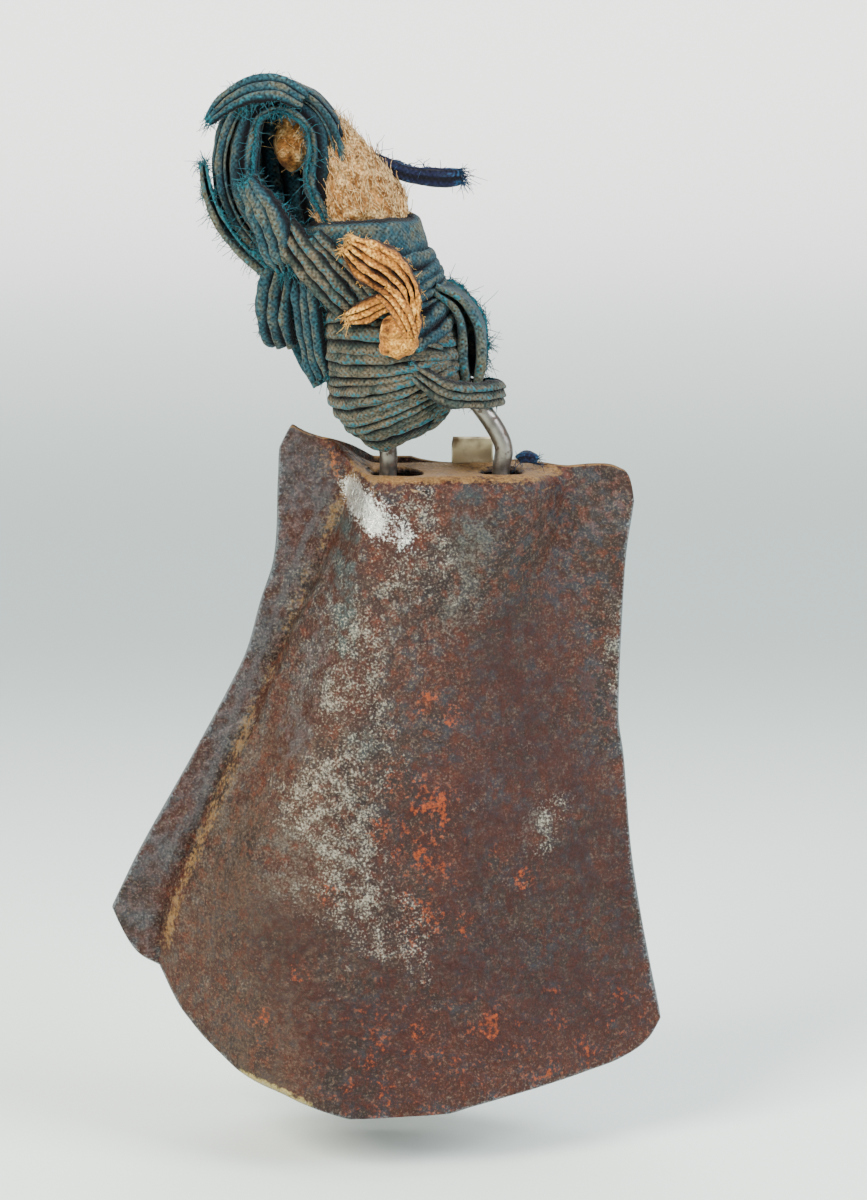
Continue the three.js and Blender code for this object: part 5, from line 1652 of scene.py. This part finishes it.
tie, tie_grid = strip("tie_band_folded", [
    (2.4, -15.8, 27.4, 0.9, 1.6), (7, -15.9, 23.6, 1.2, 2.6), (12, -15, 20.6, 1.3, 3.0),
    (18.8, -10.6, 19.4, 1.3, 3.1), (23.8, -3, 18.8, 1.3, 3.1), (23.4, 4.5, 17.8, 1.2, 3),
    (16.4, 10.8, 18, 1.1, 2.6), (9.4, 13.4, 19, 1, 2.2),
], from_the_grip, band(3, 0.8, 1.1), 111, columns=54, wrinkle=0.4, frayed=(0.9, 0.5, 1, 0.3))
edges = [(tie_grid, "left", 60), (tie_grid, "right", 60), (tie_grid, "first", 20)]
trim = fringe("tie_threads", edges, blue_cotton, length=(0.4, 1.6))
bind(tie, worn_cotton, "blue_cotton", "tie_band", trims=[trim])

# %% [markdown]
# ## The tail on the right
#
# A rolled end of darker, newer cotton sticks out of the fibre to the right. It is a roll like
# the loops, but thin and tight, and its end is frayed into long threads.

# %% The tail on the right
tail, tail_grid = strip("right_tail_rolled", [
    (-6, 2, 74, 1.2, 1.6), (-2.4, 2, 72.2, 1.6, 2), (2, 2, 70.4, 1.7, 2.2), (8, 1.7, 69.6, 1.8, 2.4),
    (12.6, 1.6, 69.6, 1.7, 2.4), (14.6, 1.6, 69.8, 1.3, 2.0),
], (0, 1, 0), rolled(6, depth=0.14), 113, columns=70, frayed=(0.6, 1, 0.5, 1))
edges = [(tail_grid, "right", 60), (tail_grid, "last", 90), (tail_grid, "first", 60)]
trim = fringe("right_tail_threads", edges, dark_cotton, length=(0.8, 3.0), curl=1.1)
bind(tail, dark_cotton, "dark_rag", "right_tail", on=["fibre_core"], trims=[trim])

# %% [markdown]
# ## The ochre knot
#
# A strip of yellow-brown cotton is knotted on the front. Its torn end fans out up to the left
# in many soft pleats, a short ear sticks out below it, and the knot itself is a round gathered
# ball with a strap over it.

# %% The knot
fan, fan_grid = strip("ochre_fan", [
    (-11.6, -15.2, 55.6, 0.9, 2.6), (-7.4, -16.4, 52.8, 1.5, 5.0), (-2.2, -17.2, 49.4, 1.8, 5.4),
    (1.6, -18, 45.4, 1.8, 3.8), (2.6, -18.4, 40.6, 1.6, 2.6), (3, -18, 36.4, 1.4, 2),
], (0.1, -1, 0.1), band(5, 1.5, 0.8), 121, columns=110, wrinkle=0.75, frayed=(1, 1, 1, 0.2))
ear, ear_grid = strip("ochre_ear", [
    (-11.8, -15.4, 38.6, 0.8, 1.6), (-8.2, -16.6, 39.8, 1.2, 2.6), (-4, -17.6, 42, 1.2, 2.2),
    (0, -18.4, 43, 1.1, 1.8),
], (0, -1, 0), band(3, 0.8, 0.7), 123, columns=44, frayed=(0.6, 0.6, 1, 0.2))
strap_over, _ = strip("ochre_strap", [
    (-3.6, -18.4, 45.4, 1.1, 2.2), (-0.8, -20, 43, 1.4, 2.4), (1.8, -20.4, 39, 1.4, 2.2),
    (3.2, -19.6, 35, 1.1, 1.8),
], (0, -1, 0.1), band(3, 0.8, 0.8), 125, columns=44, frayed=(0.2, 0.2, 0.2, 0.2))
ball = lump_of("ochre_ball", (0.4, -17.2, 34.6), (4.7, 3.4, 5.0), 127, 1.0)
for piece in (ear, strap_over, ball):
    piece.data.materials.clear()
    piece.data.materials.append(ochre_cotton)
trim = fringe("ochre_threads", [(fan_grid, "left", 120), (fan_grid, "right", 60), (fan_grid, "first", 160),
                                (ear_grid, "first", 50)], ochre_cotton, length=(0.6, 2.2), curl=0.9)
bind(fan, ochre_cotton, "ochre_cotton", "ochre_knot", held="gathered", on=["upper_turn_b"],
     trims=[ear, strap_over, ball, trim])

# %% [markdown]
# ## A scrap on the crown
#
# A dark twist of rag lies on the crown beside the right leg of the ring.

# %% The scrap
scrap, scrap_grid = strip("crown_scrap_twist", [
    (28.5, 1, 2.2, 0.9, 1.0), (30.5, 0.4, 2.8, 1.4, 1.7), (32.9, 0.6, 2.2, 1.0, 1.5),
], (0, 0, 1), rolled(5, depth=0.3), 131, columns=40, pace=0.4, frayed=(1, 1, 1, 1))
edges = [(scrap_grid, "first", 14), (scrap_grid, "last", 20)]
trim = fringe("scrap_threads", edges, dark_cotton, length=(0.5, 1.5))
dress(scrap, dark_cotton, "bell", "dark_rag", "crown_scrap")
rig.ride(trim, "bell")
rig.slot(trim, "dark_rag")
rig.sheet(scrap, held="folded", rests_on=["front_sheet"], with_pieces=[trim], **cut_of(scrap))

# %% [markdown]
# ## The studio
#
# A sweep of pale matt paper runs from under the bell up behind it in one curve, so no line
# shows where the floor ends. It stands well back, so that the bell can be looked at from behind
# too. A large soft light stands high on the left in front, a weaker one on the right, and one
# above. A fourth lights the paper that turns up behind, and a pale sky fills the shadows. The
# paper is pale under the bell and pale again where it rises; between, behind the bell, a greyer
# band is painted shade in its colour.

# %% Paper sweep and lights
SWEEP = [(-4.6, 0), (1.2, 0), (1.7, 0.04), (2.1, 0.2), (2.3, 0.5), (2.4, 1.0), (2.4, 2.6)]
profile, _ = smooth_path([(0, y / MM, z / MM) for y, z in SWEEP], 160)
sides = np.linspace(-4600, 4600, 41)
grid = np.zeros((len(profile), len(sides), 3))
grid[..., 0] = sides
grid[..., 1] = profile[:, 1:2]
grid[..., 2] = profile[:, 2:3]
sweep = build("paper_sweep", grid, quads(len(profile), len(sides)))
paper, tree, shader = new_material("matt_studio_paper")
coords = add(tree, "TexCoord").outputs["Object"]
height = add(tree, "SeparateXYZ", {"Vector": coords}).outputs["Y"]
# Painted shade: the paper's colour turns greyer behind the bell, and pale again up the wall.
limits = {"Value": height, "From Min": 0.05, "From Max": 0.6}
far = add(tree, "MapRange", limits, interpolation_type="SMOOTHSTEP").outputs[0]
limits = {"Value": height, "From Min": 0.7, "From Max": 1.9}
wall = add(tree, "MapRange", limits, interpolation_type="SMOOTHSTEP").outputs[0]
tone = add(tree, "Mix", {0: far, 6: linear("#f2fcf3"), 7: linear("#a2b0ad")}, data_type="RGBA").outputs[2]
tone = add(tree, "Mix", {0: wall, 6: tone, 7: linear("#fffffb")}, data_type="RGBA").outputs[2]
tree.links.new(tone, shader.inputs["Base Color"])
fibre = add(tree, "TexNoise", {"Vector": coords, "Scale": 900.0, "Detail": 3}).outputs["Fac"]
bump = add(tree, "Bump", {"Height": fibre, "Strength": 0.1, "Distance": 0.1 * MM}).outputs[0]
tree.links.new(bump, shader.inputs["Normal"])
shader.inputs["Roughness"].default_value = 0.9
sweep.data.materials.append(paper)
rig.stage(sweep)


def soft_light(name, place, aim, size, power, colour):
    data = bpy.data.lights.new(name, "AREA")
    data.shape = "RECTANGLE"
    data.size, data.size_y = size
    data.energy = power
    data.color = linear(colour)[:3]
    light = bpy.data.objects.new(name, data)
    light.location = place
    aimed = np.array(aim) - np.array(place)
    light.rotation_euler = Vector(aimed).to_track_quat("-Z", "Y").to_euler()
    bpy.context.scene.collection.objects.link(light)


soft_light("key_softbox", (-1.0, -1.1, 1.25), (0, 0, 0.12), (0.8, 0.8), 66, "#fffaf0")
soft_light("fill_softbox", (1.2, -0.7, 0.9), (0, 0, 0.1), (0.8, 0.8), 38, "#eef4ff")
soft_light("top_softbox", (0.1, 0.3, 1.7), (0, 0.1, 0), (1.4, 1.2), 14, "#f4f8ff")
soft_light("wall_softbox", (0, 1.7, 1.4), (0, 2.15, 0.1), (2.4, 0.4), 34, "#ffffff")
world = bpy.data.worlds.new("studio_air")
bpy.context.scene.world = world
world.use_nodes = True
world.node_tree.nodes["Background"].inputs["Color"].default_value = linear("#e6edf0")
world.node_tree.nodes["Background"].inputs["Strength"].default_value = 0.52
lights = [light.name for light in bpy.context.scene.objects if light.type == "LIGHT"]
print("the paper is", 2 * sides[-1] * MM, "m wide, under", lights)

# %% Sizes, written to extents.json
low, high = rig.bounds()
boxes = {"cad": [list(cad_low), list(cad_high)], "visual": [list(low), list(high)]}
with open("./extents.json", "w") as size_file:
    json.dump(boxes, size_file)
print("CAD box in mm", [round(v / MM, 1) for v in (*cad_low, *cad_high)])
print("visual box in mm", [round(v / MM, 1) for v in (*low, *high)])
